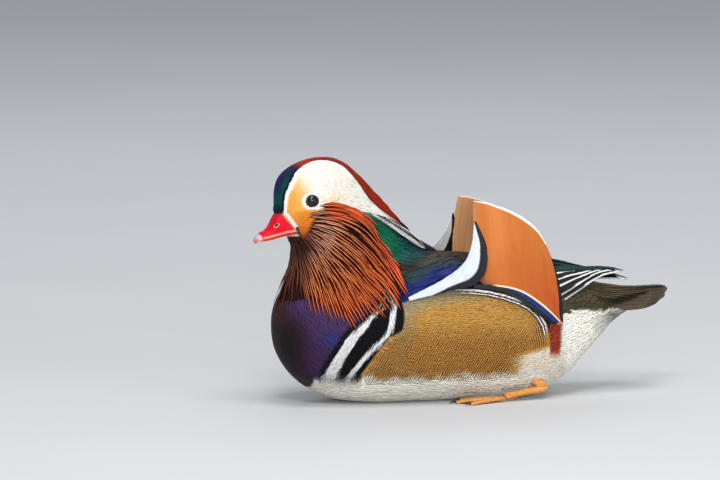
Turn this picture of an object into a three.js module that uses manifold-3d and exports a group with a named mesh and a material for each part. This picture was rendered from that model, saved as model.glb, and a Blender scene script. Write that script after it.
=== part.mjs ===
// A drake mandarin duck, life size, resting on its belly with the feet tucked under,
// as a still museum model. Millimetres: +X runs forward along the trunk, +Y to the
// bird's left, +Z up. The origin is the middle of the small flat under the belly.
import * as THREE from "three";
import { mergeVertices } from "three/addons/utils/BufferGeometryUtils.js";
import Module from "manifold-3d";

const wasm = await Module();
wasm.setup();

// ---------------------------------------------------------------- driving sizes
const GAP = 0.4; // clearance left between neighbouring pieces
const EVEN = 0.15; // facets flatter than this are merged
const BROAD = { trunk: 1.4, breast: 1.4, rump: 1.4, neck: 1.4, head: 1.4, crest: 1.4, bill_upper: 0.3, bill_lower: 0.3 };
const FLOOR = 0; // level of the belly flat and of the soles
const HEAD_PIVOT_X = 95; // the head turns about a vertical line through here
const HEAD_TURN = (10 * Math.PI) / 180; // towards the bird's left
const COAT_STEP = 5; // depth of the flank plumage that overlaps the folded wing
const WING_SINK = 1.2; // the wing's face lies this far under the flank's
const WING_INNER_Y = 29; // the folded wings start this far from the midline

// Trunk: sections across X, from the undertail to the front of the breast.
const TRUNK = {
  x: [-157, -152, -141, -121, -95, -65, -25, 20, 60, 95, 122, 142, 153.5, 157],
  half: [0, 10, 20, 31, 42.5, 53, 61.5, 64, 61, 54.5, 46, 33.5, 17, 0],
  low: [79, 71, 58, 36, 12, 0, -2, -2, -2, 1, 10, 26, 46, 65],
  mid: [79, 79, 77, 73, 67, 64, 62, 61, 62, 64, 66, 67, 66, 65],
  high: [79, 85, 90, 97, 105, 115, 122, 125, 125, 121.5, 115, 102, 84, 65],
};
const TRUNK_ROUND = 2.2; // exponent of the trunk's oval section

// Head, ruff and neck: level sections, from inside the breast to the crown.
// front, wide and rear are measured forward from the pivot; taper sharpens the nape
// and nose the face.
const HEAD = {
  z: [66, 74, 88, 104, 116, 124, 131, 138, 145, 152, 160, 168, 178, 188, 195.5, 201.5, 206, 208.4, 209.4],
  front: [38, 52, 56, 51, 46, 45.4, 45.6, 48.4, 53, 56.5, 61.5, 64, 64.1, 62.6, 58.6, 51, 41, 31, 20],
  wide: [12, 12, 10, 6, 5, 6, 8, 12, 17, 22, 27, 31, 32, 31, 28, 25, 23, 21.5, 20],
  rear: [-5, -20, -36, -47, -61, -76, -78, -71, -63.4, -56, -48.4, -40.8, -30.4, -20.5, -12, -4.6, 3.4, 10.5, 20],
  half: [28, 38, 43, 41.5, 38.5, 36, 33.5, 30.5, 28, 26, 24, 22.6, 21.8, 20.2, 17.4, 13.8, 9.6, 5.8, 0],
  taper: [1, 1, 1.2, 1.6, 2.2, 2.8, 3, 2.8, 2.6, 2.4, 2.2, 2, 1.8, 1.6, 1.4, 1.2, 1.1, 1, 1],
  nose: [1, 1, 1, 1, 1.05, 1.1, 1.2, 1.25, 1.3, 1.25, 1.2, 1.15, 1.1, 1.05, 1, 1, 1, 1, 1],
};
const TURN_FROM_Z = 98,
  TURN_FULL_Z = 146; // the neck twists between these levels

// Bill, in the head's own frame: forward, up, half width. ridge is the top line,
// mouth the line between the mandibles, keel the underside.
const BILL = {
  a: [49.3, 51, 54.8, 58, 60.4, 63.2, 65.9, 67.8, 70.6, 74, 77.3, 80.2, 82.2, 83.3],
  ridge: [151.6, 154.2, 158.9, 162.8, 165.2, 163.2, 159.4, 155.8, 152.2, 149.8, 148.4, 146.4, 144.4, 142],
  mouth: [147.7, 147.3, 146.6, 145.9, 145.4, 144.8, 144.2, 143.8, 143.2, 142.4, 141.8, 141.3, 141, 140.8],
  keel: [144.6, 144.5, 144, 143.5, 143.1, 142.5, 141.8, 141.3, 140.7, 140.1, 139.7, 139.3, 139.2, 139.2],
  half: [7.8, 8.1, 8.4, 8.5, 8.4, 8.1, 7.8, 7.6, 7.2, 6.8, 6.3, 5.4, 3.8, 1.6],
  box: [0.55, 0.5, 0.5, 0.5, 0.5, 0.55, 0.64, 0.7, 0.78, 0.85, 0.9, 0.96, 1, 1],
};
const LOWER_BILL_END = 79.4; // the lower mandible stops behind the nail
const NAIL_DROP = 2.3; // the hook of the nail reaches this far under the mouth line
const FEATHER_POINT = { a: 57.6, z: 167.2, long: 8.2, wide: 5.4, deep: 8 }; // forehead plumage on the bill
const NOSTRIL = { a: 68.6, z: 155.4, b: 5.2, long: 2.3, deep: 1.1, tilt: 0.6 };
const EYE = { a: 38.8, z: 174.8, r: 6.3, sink: 3.6 }; // centre sits this far under the cheek
const EYE_LID_R = 6.7;

// Sail: the upright vane of the modified tertial.
const SAIL = {
  foot: [[-4, 47, 98], [-24, 51, 97], [-46, 53, 90], [-66, 52, 79], [-84, 47, 66]],
  crown: [[-15, 21, 168.5], [-31, 22, 165.5], [-50, 25, 158], [-66, 28, 146.5], [-75, 31, 132.5]],
  bulge: 5,
  thick: 1.5,
};
// Crescent: the white and black tertial that curls up in front of the sail.
const CRESCENT = {
  mid: [[54, 57, 92.5], [22, 57.5, 103], [-3, 52, 113], [-12.5, 42, 131], [-12.8, 31, 153]],
  width: [3, 11, 20, 14, 1.6],
  thick: 1.5,
};
// Folded primaries behind the sail.
const PRIMARIES = {
  left: [[-40, 40, 103], [-64, 39, 99.5], [-84, 35, 98.5], [-104, 31, 100], [-126, 22, 103], [-150, 12, 103]],
  right: [[-40, -40, 103], [-64, -39, 99.5], [-84, -36, 98], [-108, -30, 98], [-136, -20, 95.5], [-163, -12, 92.5]],
  width: [12, 20, 25, 20, 11, 1.8],
  thick: 2.4,
};
const TAIL = { from: -114, to: -193, root: 21, span: 28, ridge: 88, droop: 12, thick: 3.2 };

// Outline of the ruff in side view, tip by tip.
const RUFF = [
  [176, 142.5], [140, 146], [128, 151], [118, 158.5], [110, 164.5], [101, 167], [92, 163.5], [80, 155], [72, 143.5], [65, 130],
  [56, 112.5], [51, 103], [50, 93], [57, 95.5], [57.5, 85.5], [65, 88.5], [66, 78.5], [73.5, 82], [76, 72.5], [84, 78.5],
  [86.5, 70.5], [93, 76.5], [97, 66.5], [104, 76], [110, 68.5], [114, 77], [120, 69.5], [124, 80], [132, 76], [134, 87],
  [142, 83.5], [144, 93], [152, 88], [156, 97], [176, 96],
];
const RUFF_DEEP = 2.4, // the hackles' depth into the breast plumage
  RUFF_PROUD = 0.6; // and how far they stand out of it
const LEG = { heel: [-72, 37, 9.5], toes: [-36, 43, 4.6], r: 3.1, knee: [-62, 35, 17] };
const TOES = { inner: [4, 31], middle: [12, 46], outer: [3, 61], hind: [-50, 35], knuckle: 1.6 };

// ------------------------------------------------------------------ small maths
// Smooth curve through values at given stations that never overshoots them.
function through(xs, ys) {
  const n = xs.length,
    d = [],
    m = new Array(n);
  for (let i = 0; i < n - 1; i++) d.push((ys[i + 1] - ys[i]) / (xs[i + 1] - xs[i]));
  m[0] = d[0];
  m[n - 1] = d[n - 2];
  for (let i = 1; i < n - 1; i++)
    m[i] = d[i - 1] * d[i] <= 0 ? 0 : (2 * d[i - 1] * d[i]) / (d[i - 1] + d[i]);
  return (x) => {
    if (x <= xs[0]) return ys[0];
    if (x >= xs[n - 1]) return ys[n - 1];
    let i = 0;
    while (x > xs[i + 1]) i++;
    const h = xs[i + 1] - xs[i],
      t = (x - xs[i]) / h;
    return (
      ys[i] * (1 + 2 * t) * (1 - t) ** 2 +
      ys[i + 1] * t * t * (3 - 2 * t) +
      h * (m[i] * t * (1 - t) ** 2 - m[i + 1] * t * t * (1 - t))
    );
  };
}
const byStation = (values) => through([...values.keys()], values);
const lerp = (a, b, t) => a + (b - a) * t;
const smooth = (a, b, x) => {
  const t = Math.min(1, Math.max(0, (x - a) / (b - a)));
  return t * t * (3 - 2 * t);
};
const power = (c, e) => Math.sign(c) * Math.abs(c) ** e;
const V = (x, y, z) => new THREE.Vector3(x, y, z);
const mirrorY = (p) => [p[0], -p[1], p[2]];

// --------------------------------------------------------------- shape builders
// A unit sphere's grid, its pole axis run along s and its rings along phi.
function skinOver(fn, rings, around) {
  const g = new THREE.SphereGeometry(1, around, rings);
  const p = g.attributes.position;
  for (let i = 0; i < p.count; i++) {
    const row = Math.floor(i / (around + 1)),
      col = i % (around + 1);
    const q = fn(row / rings, (2 * Math.PI * (col % around)) / around);
    p.setXYZ(i, q.x, q.y, q.z);
  }
  return g;
}
// A thin plate: a box whose grid u, v follows fn, with its thickness along the normal.
function plateOver(fn, nu, nv, thick) {
  const g = new THREE.BoxGeometry(1, 1, 1, nu, nv, 1);
  const p = g.attributes.position,
    e = 1e-3;
  for (let i = 0; i < p.count; i++) {
    const u = p.getX(i) + 0.5,
      v = p.getY(i) + 0.5,
      side = p.getZ(i) * 2;
    const a = fn(Math.max(0, u - e), v),
      b = fn(Math.min(1, u + e), v),
      c = fn(u, Math.max(0, v - e)),
      d = fn(u, Math.min(1, v + e));
    const n = b.sub(a).cross(d.sub(c)).normalize();
    const q = fn(u, v).addScaledVector(n, (side * thick(u, v)) / 2);
    p.setXYZ(i, q.x, q.y, q.z);
  }
  return g;
}
function solid(geometry, flipIfNeeded = true, weld = 1e-4) {
  const g = geometry.clone();
  for (const name of Object.keys(g.attributes)) if (name !== "position") g.deleteAttribute(name);
  const m = mergeVertices(g, weld);
  const tri = new Uint32Array(m.index.array);
  const keep = [];
  for (let i = 0; i < tri.length; i += 3)
    if (tri[i] !== tri[i + 1] && tri[i + 1] !== tri[i + 2] && tri[i] !== tri[i + 2])
      keep.push(tri[i], tri[i + 1], tri[i + 2]);
  const make = (t) =>
    new wasm.Manifold(
      new wasm.Mesh({
        numProp: 3,
        vertProperties: new Float32Array(m.attributes.position.array),
        triVerts: new Uint32Array(t),
      }),
    );
  let s = make(keep);
  if (flipIfNeeded && s.volume() < 0) {
    for (let i = 0; i < keep.length; i += 3) [keep[i + 1], keep[i + 2]] = [keep[i + 2], keep[i + 1]];
    s = make(keep);
  }
  return s;
}
function geometryOf(s) {
  const m = s.getMesh(),
    n = m.numProp,
    v = new Float32Array(m.numVert * 3);
  for (let i = 0; i < m.numVert; i++) v.set(m.vertProperties.subarray(i * n, i * n + 3), i * 3);
  const g = new THREE.BufferGeometry();
  g.setAttribute("position", new THREE.BufferAttribute(v, 3));
  g.setIndex(new THREE.BufferAttribute(new Uint32Array(m.triVerts), 1));
  g.computeVertexNormals();
  return g;
}
// Everything on the far side of a plane through `at`, as a big box; forward = normal.
function halfSpace(at, normal, size = 900) {
  const box = new THREE.BoxGeometry(size, size, size);
  box.translate(0, 0, size / 2);
  box.applyQuaternion(new THREE.Quaternion().setFromUnitVectors(V(0, 0, 1), normal.clone().normalize()));
  box.translate(at.x, at.y, at.z);
  return solid(box);
}
// The largest body of a solid, without slivers that a cut leaves behind.
function mainBody(s) {
  return s.decompose().sort((a, b) => b.volume() - a.volume())[0];
}
// Splits s by a plane into [behind, ahead], with a thin gap between.
function part(s, at, normal) {
  const n = normal.clone().normalize();
  const ahead = s.intersect(halfSpace(at.clone().addScaledVector(n, GAP / 2), n));
  const behind = s.intersect(halfSpace(at.clone().addScaledVector(n, -GAP / 2), n.clone().negate()));
  return [mainBody(behind), mainBody(ahead)];
}
function extruded(outline, from, to) {
  // outline in X and Z, run along Y
  const g = new THREE.ExtrudeGeometry(new THREE.Shape(outline.map(([x, z]) => new THREE.Vector2(x, z))), {
    depth: to - from,
    bevelEnabled: false,
  });
  g.rotateX(Math.PI / 2); // shape's y becomes z, depth runs along -y
  g.translate(0, to, 0);
  return solid(g);
}

// thicker copies give the gap where two plates pass close
function grown(s, by) {
  const g = geometryOf(s),
    p = g.attributes.position,
    n = g.attributes.normal;
  for (let i = 0; i < p.count; i++)
    p.setXYZ(i, p.getX(i) + by * n.getX(i), p.getY(i) + by * n.getY(i), p.getZ(i) + by * n.getZ(i));
  return solid(g);
}
// The same outline, moved out (or in) by a clearance.
function offsetOutline(points, by) {
  let area = 0;
  points.forEach(([x, z], i) => {
    const [nx, nz] = points[(i + 1) % points.length];
    area += x * nz - nx * z;
  });
  const sign = area > 0 ? 1 : -1;
  return points.map((p, i) => {
    const a = points[(i + points.length - 1) % points.length],
      b = points[(i + 1) % points.length];
    const unit = (q, r) => {
      const l = Math.hypot(r[0] - q[0], r[1] - q[1]);
      return [(sign * (r[1] - q[1])) / l, (-sign * (r[0] - q[0])) / l];
    };
    const m = unit(a, p),
      n = unit(p, b);
    const scale = by / Math.max(0.25, 1 + m[0] * n[0] + m[1] * n[1]);
    return [p[0] + (m[0] + n[0]) * scale, p[1] + (m[1] + n[1]) * scale];
  });
}

// ------------------------------------------------------------------- the trunk
const trunkLast = TRUNK.x.length - 1;
const trunkAt = Object.fromEntries(Object.entries(TRUNK).map(([k, v]) => [k, byStation(v)]));
function trunkPoint(s, phi, grow = 0) {
  const raw = (s, phi) => {
    const i = s * trunkLast;
    const c = Math.cos(phi),
      k = Math.sin(phi),
      mid = trunkAt.mid(i);
    const reach = k >= 0 ? trunkAt.high(i) - mid : mid - trunkAt.low(i);
    return V(
      trunkAt.x(i),
      trunkAt.half(i) * power(c, 2 / TRUNK_ROUND),
      mid + reach * power(k, 2 / TRUNK_ROUND),
    );
  };
  const p = raw(s, phi);
  if (grow) {
    const e = 2e-3;
    const n = raw(Math.min(1, s + e), phi).sub(raw(Math.max(0, s - e), phi));
    const side = raw(s, phi + e).sub(raw(s, phi - e));
    n.cross(side).negate();
    if (n.length() < 1e-6 || s < e || s > 1 - e) n.set(s < 0.5 ? -1 : 1, 0, 0);
    p.addScaledVector(n.normalize(), grow);
  }
  return p;
}
const trunkShape = (grow, rings = 22, around = 30, flat = true) =>
  solid(
    skinOver(
      (s, phi) => {
        const p = trunkPoint(s, phi, grow);
        if (flat) p.z = Math.max(p.z, FLOOR);
        return p;
      },
      rings,
      around,
    ),
  );
const envelope = trunkShape(0);
const clearOfTrunk = trunkShape(GAP, 22, 30, false);
const core = trunkShape(-COAT_STEP, 20, 26);
const clearOfCore = trunkShape(-COAT_STEP + GAP, 20, 26);
const wingFace = trunkShape(-WING_SINK, 22, 30);

// The folded wing's region, seen from the side: its lower edge is tucked into the flank.
const FLANK_LIP = [[74, 90], [54, 93], [32, 98.5], [8, 101], [-16, 100.5], [-36, 96.5], [-54, 88.5], [-70, 77], [-82, 76]];
const lipLine = (drop) => FLANK_LIP.map(([x, z]) => [x, z + drop]);
const wingRegion = (drop, inner, ends) =>
  extruded(
    [...lipLine(drop), [-98 + ends, 90 + drop], [-98 + ends, 150], [74 - ends, 150]],
    inner,
    90,
  );
const bothSides = (left) => left.add(left.mirror([0, 1, 0]));
const wingRoom = bothSides(wingRegion(0, WING_INNER_Y, 0)).subtract(core);
let trunk = mainBody(envelope.subtract(wingRoom));

// ------------------------------------------------------------- head, neck, crest
const headLast = HEAD.z.length - 1;
const headAt = Object.fromEntries(Object.entries(HEAD).map(([k, v]) => [k, byStation(v)]));
function fromHead(a, b, z, turn = HEAD_TURN) {
  const c = Math.cos(turn),
    s = Math.sin(turn);
  return V(HEAD_PIVOT_X + a * c - b * s, a * s + b * c, z);
}
const turnAt = (z) => HEAD_TURN * smooth(TURN_FROM_Z, TURN_FULL_Z, z);
function headPoint(s, phi) {
  const i = s * headLast,
    z = headAt.z(i);
  const c = Math.cos(phi),
    k = Math.sin(phi),
    wide = headAt.wide(i);
  const open = s <= 0 ? 0 : 1; // the base closes on its own middle
  const a = wide + open * c * (c >= 0 ? headAt.front(i) - wide : wide - headAt.rear(i));
  const b = open * headAt.half(i) * power(k, c >= 0 ? headAt.nose(i) : headAt.taper(i));
  return fromHead(a, b, z, turnAt(z));
}
const headMass = solid(skinOver(headPoint, 26, 28));
const clearOfHead = (() => {
  // the same surface moved out by the gap, along its own normals
  const g = skinOver(headPoint, 26, 28);
  const merged = mergeVertices(new THREE.BufferGeometry().setAttribute("position", g.attributes.position).setIndex(g.index), 1e-4);
  merged.computeVertexNormals();
  const p = merged.attributes.position,
    n = merged.attributes.normal;
  const sign = headMass.volume() > 0 && solid(merged, false).volume() < 0 ? -1 : 1;
  for (let i = 0; i < p.count; i++)
    p.setXYZ(i, p.getX(i) + sign * GAP * n.getX(i), p.getY(i) + sign * GAP * n.getY(i), p.getZ(i) + sign * GAP * n.getZ(i));
  return solid(merged);
})();

// Eyes sit in round sockets.
const cheekAt = (a, z) => {
  // half width of the head at a forward distance and level
  const i = through(HEAD.z, [...HEAD.z.keys()])(z);
  const wide = headAt.wide(i),
    c = a >= wide ? (a - wide) / (headAt.front(i) - wide) : (a - wide) / (wide - headAt.rear(i));
  const k = Math.sqrt(Math.max(0, 1 - c * c));
  return headAt.half(i) * k ** (c >= 0 ? headAt.nose(i) : headAt.taper(i));
};
const eyeSide = (side) => fromHead(EYE.a, side * (cheekAt(EYE.a, EYE.z) - EYE.sink), EYE.z);
const ball = (at, r, w = 12, h = 9) => solid(new THREE.SphereGeometry(r, w, h).translate(at.x, at.y, at.z));
const eyeLeft = ball(eyeSide(1), EYE.r),
  eyeRight = ball(eyeSide(-1), EYE.r);
// ------------------------------------------------------------------------- bill
const billLast = BILL.a.length - 1;
const billAlong = byStation(BILL.a);
const billAt = Object.fromEntries(Object.entries(BILL).map(([k, v]) => [k, through(BILL.a, v)]));
function billPoint(upper) {
  return (s, phi) => {
    const c = Math.cos(phi),
      k = Math.sin(phi);
    const end = s <= 0 || s >= 1 ? 0 : 1; // both ends draw in to close
    const a = upper ? billAlong(s * billLast) : lerp(BILL.a[0], LOWER_BILL_END, s),
      line = billAt.mouth(a);
    if (upper) {
      const from = line + GAP / 2,
        box = billAt.box(a),
        hook = NAIL_DROP * smooth(LOWER_BILL_END + 0.8, LOWER_BILL_END + 2.6, a);
      const top = Math.max(0.8, billAt.ridge(a) - from);
      return fromHead(
        a,
        billAt.half(a) * power(c, box) * end,
        from + (k > 0 ? top * k ** (1.25 * box) : -(0.02 + hook) * -k) * end,
      );
    }
    const from = line - GAP / 2,
      deep = Math.max(0.9, from - billAt.keel(a));
    const round = Math.sqrt(Math.max(0, 1 - s ** 6));
    return fromHead(a, billAt.half(a) * 0.84 * round * power(c, 0.8) * end, from + (k < 0 ? -deep * (-k) ** 1.1 : 0) * end);
  };
}
const ellipsoid = (a, b, z, ra, rb, rz, w = 16, h = 10) => {
  const g = new THREE.SphereGeometry(1, w, h);
  g.scale(ra, rb, rz);
  g.rotateZ(HEAD_TURN);
  const c = fromHead(a, b, z);
  g.translate(c.x, c.y, c.z);
  return solid(g);
};
const forelock = (by) =>
  ellipsoid(FEATHER_POINT.a, 0, FEATHER_POINT.z, FEATHER_POINT.long + by, FEATHER_POINT.wide + by, FEATHER_POINT.deep + by, 16, 10);
let billUpper = solid(skinOver(billPoint(true), 22, 20)).subtract(forelock(GAP));
for (const side of [1, -1]) {
  const g = new THREE.SphereGeometry(1, 10, 6);
  g.scale(NOSTRIL.long, 3, NOSTRIL.deep);
  g.rotateY(NOSTRIL.tilt);
  g.rotateZ(HEAD_TURN);
  const c = fromHead(NOSTRIL.a, side * (NOSTRIL.b + 1.2), NOSTRIL.z);
  g.translate(c.x, c.y, c.z);
  billUpper = billUpper.subtract(solid(g));
}
billUpper = mainBody(billUpper);
const billLower = mainBody(solid(skinOver(billPoint(false), 16, 16)));
const billRoom = grown(billUpper.simplify(EVEN / 2), 0.5).add(grown(billLower.simplify(EVEN), 0.5));

let face = headMass
  .add(forelock(0).intersect(halfSpace(fromHead(40, 0, 150), V(1, 0, 0.2))))
  .subtract(ball(eyeSide(1), EYE_LID_R))
  .subtract(ball(eyeSide(-1), EYE_LID_R))
  .subtract(billRoom);

// Cuts. The crest lies behind a slanted plane. The ruff of hackles runs from the cheeks
// down to its pointed tips, which lie over the breast and the front of the wing.
const headForward = fromHead(1, 0, 0).sub(fromHead(0, 0, 0));
const crestCut = { at: fromHead(-14, 0, 176), normal: headForward.clone().multiplyScalar(0.93).add(V(0, 0, 0.37)) };
const [crestMass, frontMass] = part(face, crestCut.at, crestCut.normal);
const ruffAbove = extruded(offsetOutline(RUFF, -GAP / 2), -70, 70),
  ruffRoom = extruded(offsetOutline(RUFF, GAP / 2), -70, 70);
const head = mainBody(frontMass.subtract(ruffRoom));
const breastCore = trunkShape(-RUFF_DEEP, 22, 26, false),
  clearOfBreastCore = trunkShape(-RUFF_DEEP + GAP, 22, 26, false);
const cape = trunkShape(RUFF_PROUD, 22, 30, false).intersect(ruffAbove).subtract(clearOfBreastCore);
const neck = mainBody(headMass.subtract(billRoom).intersect(ruffAbove).subtract(clearOfTrunk).add(cape));
const crest = mainBody(crestMass.subtract(ruffRoom).subtract(clearOfTrunk));
trunk = mainBody(trunk.subtract(ruffRoom.subtract(breastCore)));

// ---------------------------------------------------------- wings, sails and tail
const strand = (points) => {
  const c = new THREE.CatmullRomCurve3(points.map((p) => V(...p)), false, "catmullrom", 0.5);
  return (u) => c.getPoint(Math.min(1, Math.max(0, u)));
};
// A blade along a middle line: its width lies along `across`, its ends are rounded off.
function blade(points, width, thick, across, nu = 18, nv = 4) {
  const line = strand(points),
    w = through(width.map((_, i) => i / (width.length - 1)), width);
  return plateOver(
    (u, v) => {
      const dir = across(u);
      return line(u).addScaledVector(dir, (v - 0.5) * w(u));
    },
    nu,
    nv,
    (u, v) => thick * (1 - 0.45 * u) * (1 - 0.6 * Math.abs(2 * v - 1) ** 3) + 0.3,
  );
}
function primaries(points, side) {
  const across = () => V(0.05, side * -0.42, 0.9).normalize();
  return solid(blade(points, PRIMARIES.width, PRIMARIES.thick, across, 16, 4));
}
function wing(side) {
  let shell = wingRegion(GAP, WING_INNER_Y + GAP, GAP);
  if (side < 0) shell = shell.mirror([0, 1, 0]);
  shell = wingFace.intersect(shell).subtract(clearOfCore).subtract(ruffRoom);
  const room = bothSides(wingRegion(GAP, WING_INNER_Y + GAP, GAP)).subtract(clearOfCore);
  const tips = primaries(side > 0 ? PRIMARIES.left : PRIMARIES.right, side).subtract(clearOfTrunk.subtract(room));
  return mainBody(shell.add(tips));
}

function sail(side) {
  const foot = strand(SAIL.foot.map((p) => (side > 0 ? p : mirrorY(p)))),
    crown = strand(SAIL.crown.map((p) => (side > 0 ? p : mirrorY(p))));
  const g = plateOver(
    (u, v) => {
      const p = foot(u).lerp(crown(u), v);
      p.y += side * SAIL.bulge * Math.sin(Math.PI * v) * (0.5 + 0.5 * Math.sin(Math.PI * Math.min(1, u * 1.2)));
      p.x += 3 * Math.sin(Math.PI * v) * (u < 0.5 ? 0 : -(u - 0.5) * 2); // rear edge bows back
      return p;
    },
    8,
    8,
    (u, v) => SAIL.thick * (1 - 0.35 * v) + 0.2,
  );
  return solid(g);
}
function crescent(side) {
  const points = CRESCENT.mid.map((p) => (side > 0 ? p : mirrorY(p)));
  const line = strand(points);
  const across = (u) => {
    // square to the line and to the outward direction, so the vane faces out and up
    const e = 0.01;
    const t = line(Math.min(1, u + e)).sub(line(Math.max(0, u - e))).normalize();
    const out = V(0.15, side, 0.45 * (1 - u)).normalize();
    return t.cross(out).multiplyScalar(side).normalize();
  };
  return solid(blade(points, CRESCENT.width, CRESCENT.thick, across, 18, 4));
}
function tail() {
  const along = through([0, 0.4, 0.8, 1], [TAIL.root, TAIL.span * 0.93, TAIL.span, TAIL.span * 0.72]);
  const g = plateOver(
    (u, v) => {
      const w = 2 * v - 1,
        reach = lerp(TAIL.from, TAIL.to, u) + (u > 0.3 ? ((u - 0.3) / 0.7) * 19 * Math.abs(w) ** 2.4 : 0);
      return V(reach, along(u) * w, TAIL.ridge - TAIL.droop * Math.abs(w) ** 1.4 * smooth(-0.2, 0.6, u) - 2 * (1 - u));
    },
    8,
    10,
    (u) => lerp(TAIL.thick, 1.1, u),
  );
  return solid(g);
}

// ------------------------------------------------------------------ legs and feet
function rod(points, radius, closedEnds = 0.55) {
  const line = strand(points);
  return solid(
    skinOver(
      (s, phi) => {
        const u = s,
          e = 0.01;
        const t = line(Math.min(1, u + e)).sub(line(Math.max(0, u - e))).normalize();
        const side = V(0, 0, 1).cross(t).normalize(),
          up = t.clone().cross(side);
        const r = s <= 0 || s >= 1 ? 0 : radius(u) * Math.min(1, Math.sin(Math.PI * s) ** closedEnds * 1.15);
        return line(u).addScaledVector(side, Math.cos(phi) * r).addScaledVector(up, Math.sin(phi) * r);
      },
      7,
      6,
    ),
  );
}
const sided = (p, side) => [p[0], p[1] * side, p[2]];
function foot(side) {
  const root = [LEG.toes[0] + 1, LEG.toes[1]];
  const k = TOES.knuckle;
  const toe = (end, r) => {
    const mid = [lerp(root[0], end[0], 0.5), lerp(root[1], end[1], 0.5)];
    return rod(
      [[...root, k + 0.5], [...mid, k + 0.4], [end[0], end[1], k * 0.6]].map((p) => sided(p, side)),
      (u) => r * (1 - 0.42 * u) * (1 + 0.14 * Math.cos(u * 18)),
    );
  };
  // the web: a thin plate hung between the toes
  const rim = [TOES.inner, TOES.middle, TOES.outer];
  const shape = new THREE.Shape();
  shape.moveTo(root[0] - 3, side * root[1]);
  shape.lineTo(lerp(root[0], rim[0][0], 0.93), side * lerp(root[1], rim[0][1], 0.93));
  shape.quadraticCurveTo(rim[1][0] - 13, side * 38.5, lerp(root[0], rim[1][0], 0.9), side * lerp(root[1], rim[1][1], 0.9));
  shape.quadraticCurveTo(rim[1][0] - 15, side * 53, lerp(root[0], rim[2][0], 0.93), side * lerp(root[1], rim[2][1], 0.93));
  shape.lineTo(root[0] - 3, side * root[1]);
  const web = solid(new THREE.ExtrudeGeometry(shape, { depth: 1.1, bevelEnabled: false, curveSegments: 3 }).translate(0, 0, 0.5));
  let f = web;
  for (const [end, r] of [[TOES.inner, 2.3], [TOES.middle, 2.6], [TOES.outer, 2.4]]) f = f.add(toe(end, r));
  f = f.add(
    rod([[root[0] - 1, root[1] - 1, k + 0.5], [lerp(root[0], TOES.hind[0], 0.6), lerp(root[1], TOES.hind[1], 0.6), k], [...TOES.hind, 1.2]].map((p) => sided(p, side)), (u) => 1.9 * (1 - 0.4 * u)),
  );
  return f.intersect(halfSpace(V(0, 0, FLOOR), V(0, 0, 1)));
}
function leg(side) {
  return rod(
    [LEG.knee, LEG.heel, [lerp(LEG.heel[0], LEG.toes[0], 0.5), lerp(LEG.heel[1], LEG.toes[1], 0.5), 7], LEG.toes].map((p) => sided(p, side)),
    (u) => LEG.r * (1.25 - 0.35 * u + 0.25 * Math.exp(-(((u - 0.33) / 0.12) ** 2))),
    0.4,
  );
}

// ------------------------------------------------------------------ put together
const wings = { left: wing(1), right: wing(-1) };
const sails = { left: sail(1), right: sail(-1) };
const crescents = { left: crescent(1), right: crescent(-1) };
const wingClear = { left: null, right: null };
for (const key of ["left", "right"]) {
  const around = clearOfTrunk;
  crescents[key] = mainBody(crescents[key].subtract(around));
  // the crescent lies outside the sail: a slightly thicker copy of it is cut from the sail
  sails[key] = mainBody(sails[key].subtract(around));
}
for (const key of ["left", "right"]) {
  sails[key] = mainBody(sails[key].subtract(grown(crescents[key], 0.5)));
  wings[key] = mainBody(wings[key].subtract(grown(sails[key], 0.5)));
  wings[key] = mainBody(wings[key].subtract(grown(crescents[key], 0.5)));
}
wings.right = mainBody(wings.right.subtract(grown(wings.left, 0.5)));
let tailFan = mainBody(tail().subtract(clearOfTrunk));
for (const key of ["left", "right"]) tailFan = mainBody(tailFan.subtract(grown(wings[key], 0.5)));

// The trunk is parted into breast, trunk and rump along its own feather lines.
const breastCut = { at: V(84, 0, 62), normal: V(1, 0, -0.32) };
const rumpCut = { at: V(-97, 0, 70), normal: V(1, 0, -0.08) };
let [behindBreast, breast] = part(trunk, breastCut.at, breastCut.normal);
let [rump, belly] = part(behindBreast, rumpCut.at, rumpCut.normal);

const legs = { left: leg(1), right: leg(-1) },
  soles = { left: foot(1), right: foot(-1) };
for (const key of ["left", "right"]) {
  soles[key] = mainBody(soles[key].subtract(clearOfTrunk));
  legs[key] = mainBody(legs[key].subtract(clearOfTrunk).subtract(grown(soles[key], 0.4)));
}

const duck = new THREE.Group();
const LOOKS = {
  plumage: { color: 0xb07a34, roughness: 0.75 },
  white: { color: 0xe9e4da, roughness: 0.75 },
  maroon: { color: 0x3a1f33, roughness: 0.6 },
  ruff: { color: 0xa8491f, roughness: 0.65 },
  green: { color: 0x14503f, roughness: 0.5 },
  orange: { color: 0xc8661f, roughness: 0.65 },
  dark: { color: 0x1a1a20, roughness: 0.6 },
  olive: { color: 0x4a4330, roughness: 0.7 },
  red: { color: 0xd22f40, roughness: 0.4 },
  eye: { color: 0x0c0b0c, roughness: 0.05 },
  foot: { color: 0xd08a3a, roughness: 0.6 },
};
function place(name, s, look) {
  const mesh = new THREE.Mesh(
    geometryOf(mainBody(solid(geometryOf(mainBody(s.simplify(EVEN * (BROAD[name] ?? 1)))), false, 2e-3))),
    new THREE.MeshStandardMaterial({ ...LOOKS[look], metalness: 0 }),
  );
  mesh.name = name;
  duck.add(mesh);
}
place("trunk", belly, "plumage");
place("breast", breast, "maroon");
place("rump", rump, "white");
place("neck", neck, "ruff");
place("head", head, "white");
place("crest", crest, "green");
place("bill_upper", billUpper, "red");
place("bill_lower", billLower, "red");
place("eye_left", eyeLeft, "eye");
place("eye_right", eyeRight, "eye");
for (const key of ["left", "right"]) {
  place("wing_" + key, wings[key], "dark");
  place("sail_" + key, sails[key], "orange");
  place("crescent_" + key, crescents[key], "white");
  place("leg_" + key, legs[key], "foot");
  place("foot_" + key, soles[key], "foot");
}
place("tail", tailFan, "olive");

export default duck;
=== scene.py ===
import math

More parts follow.
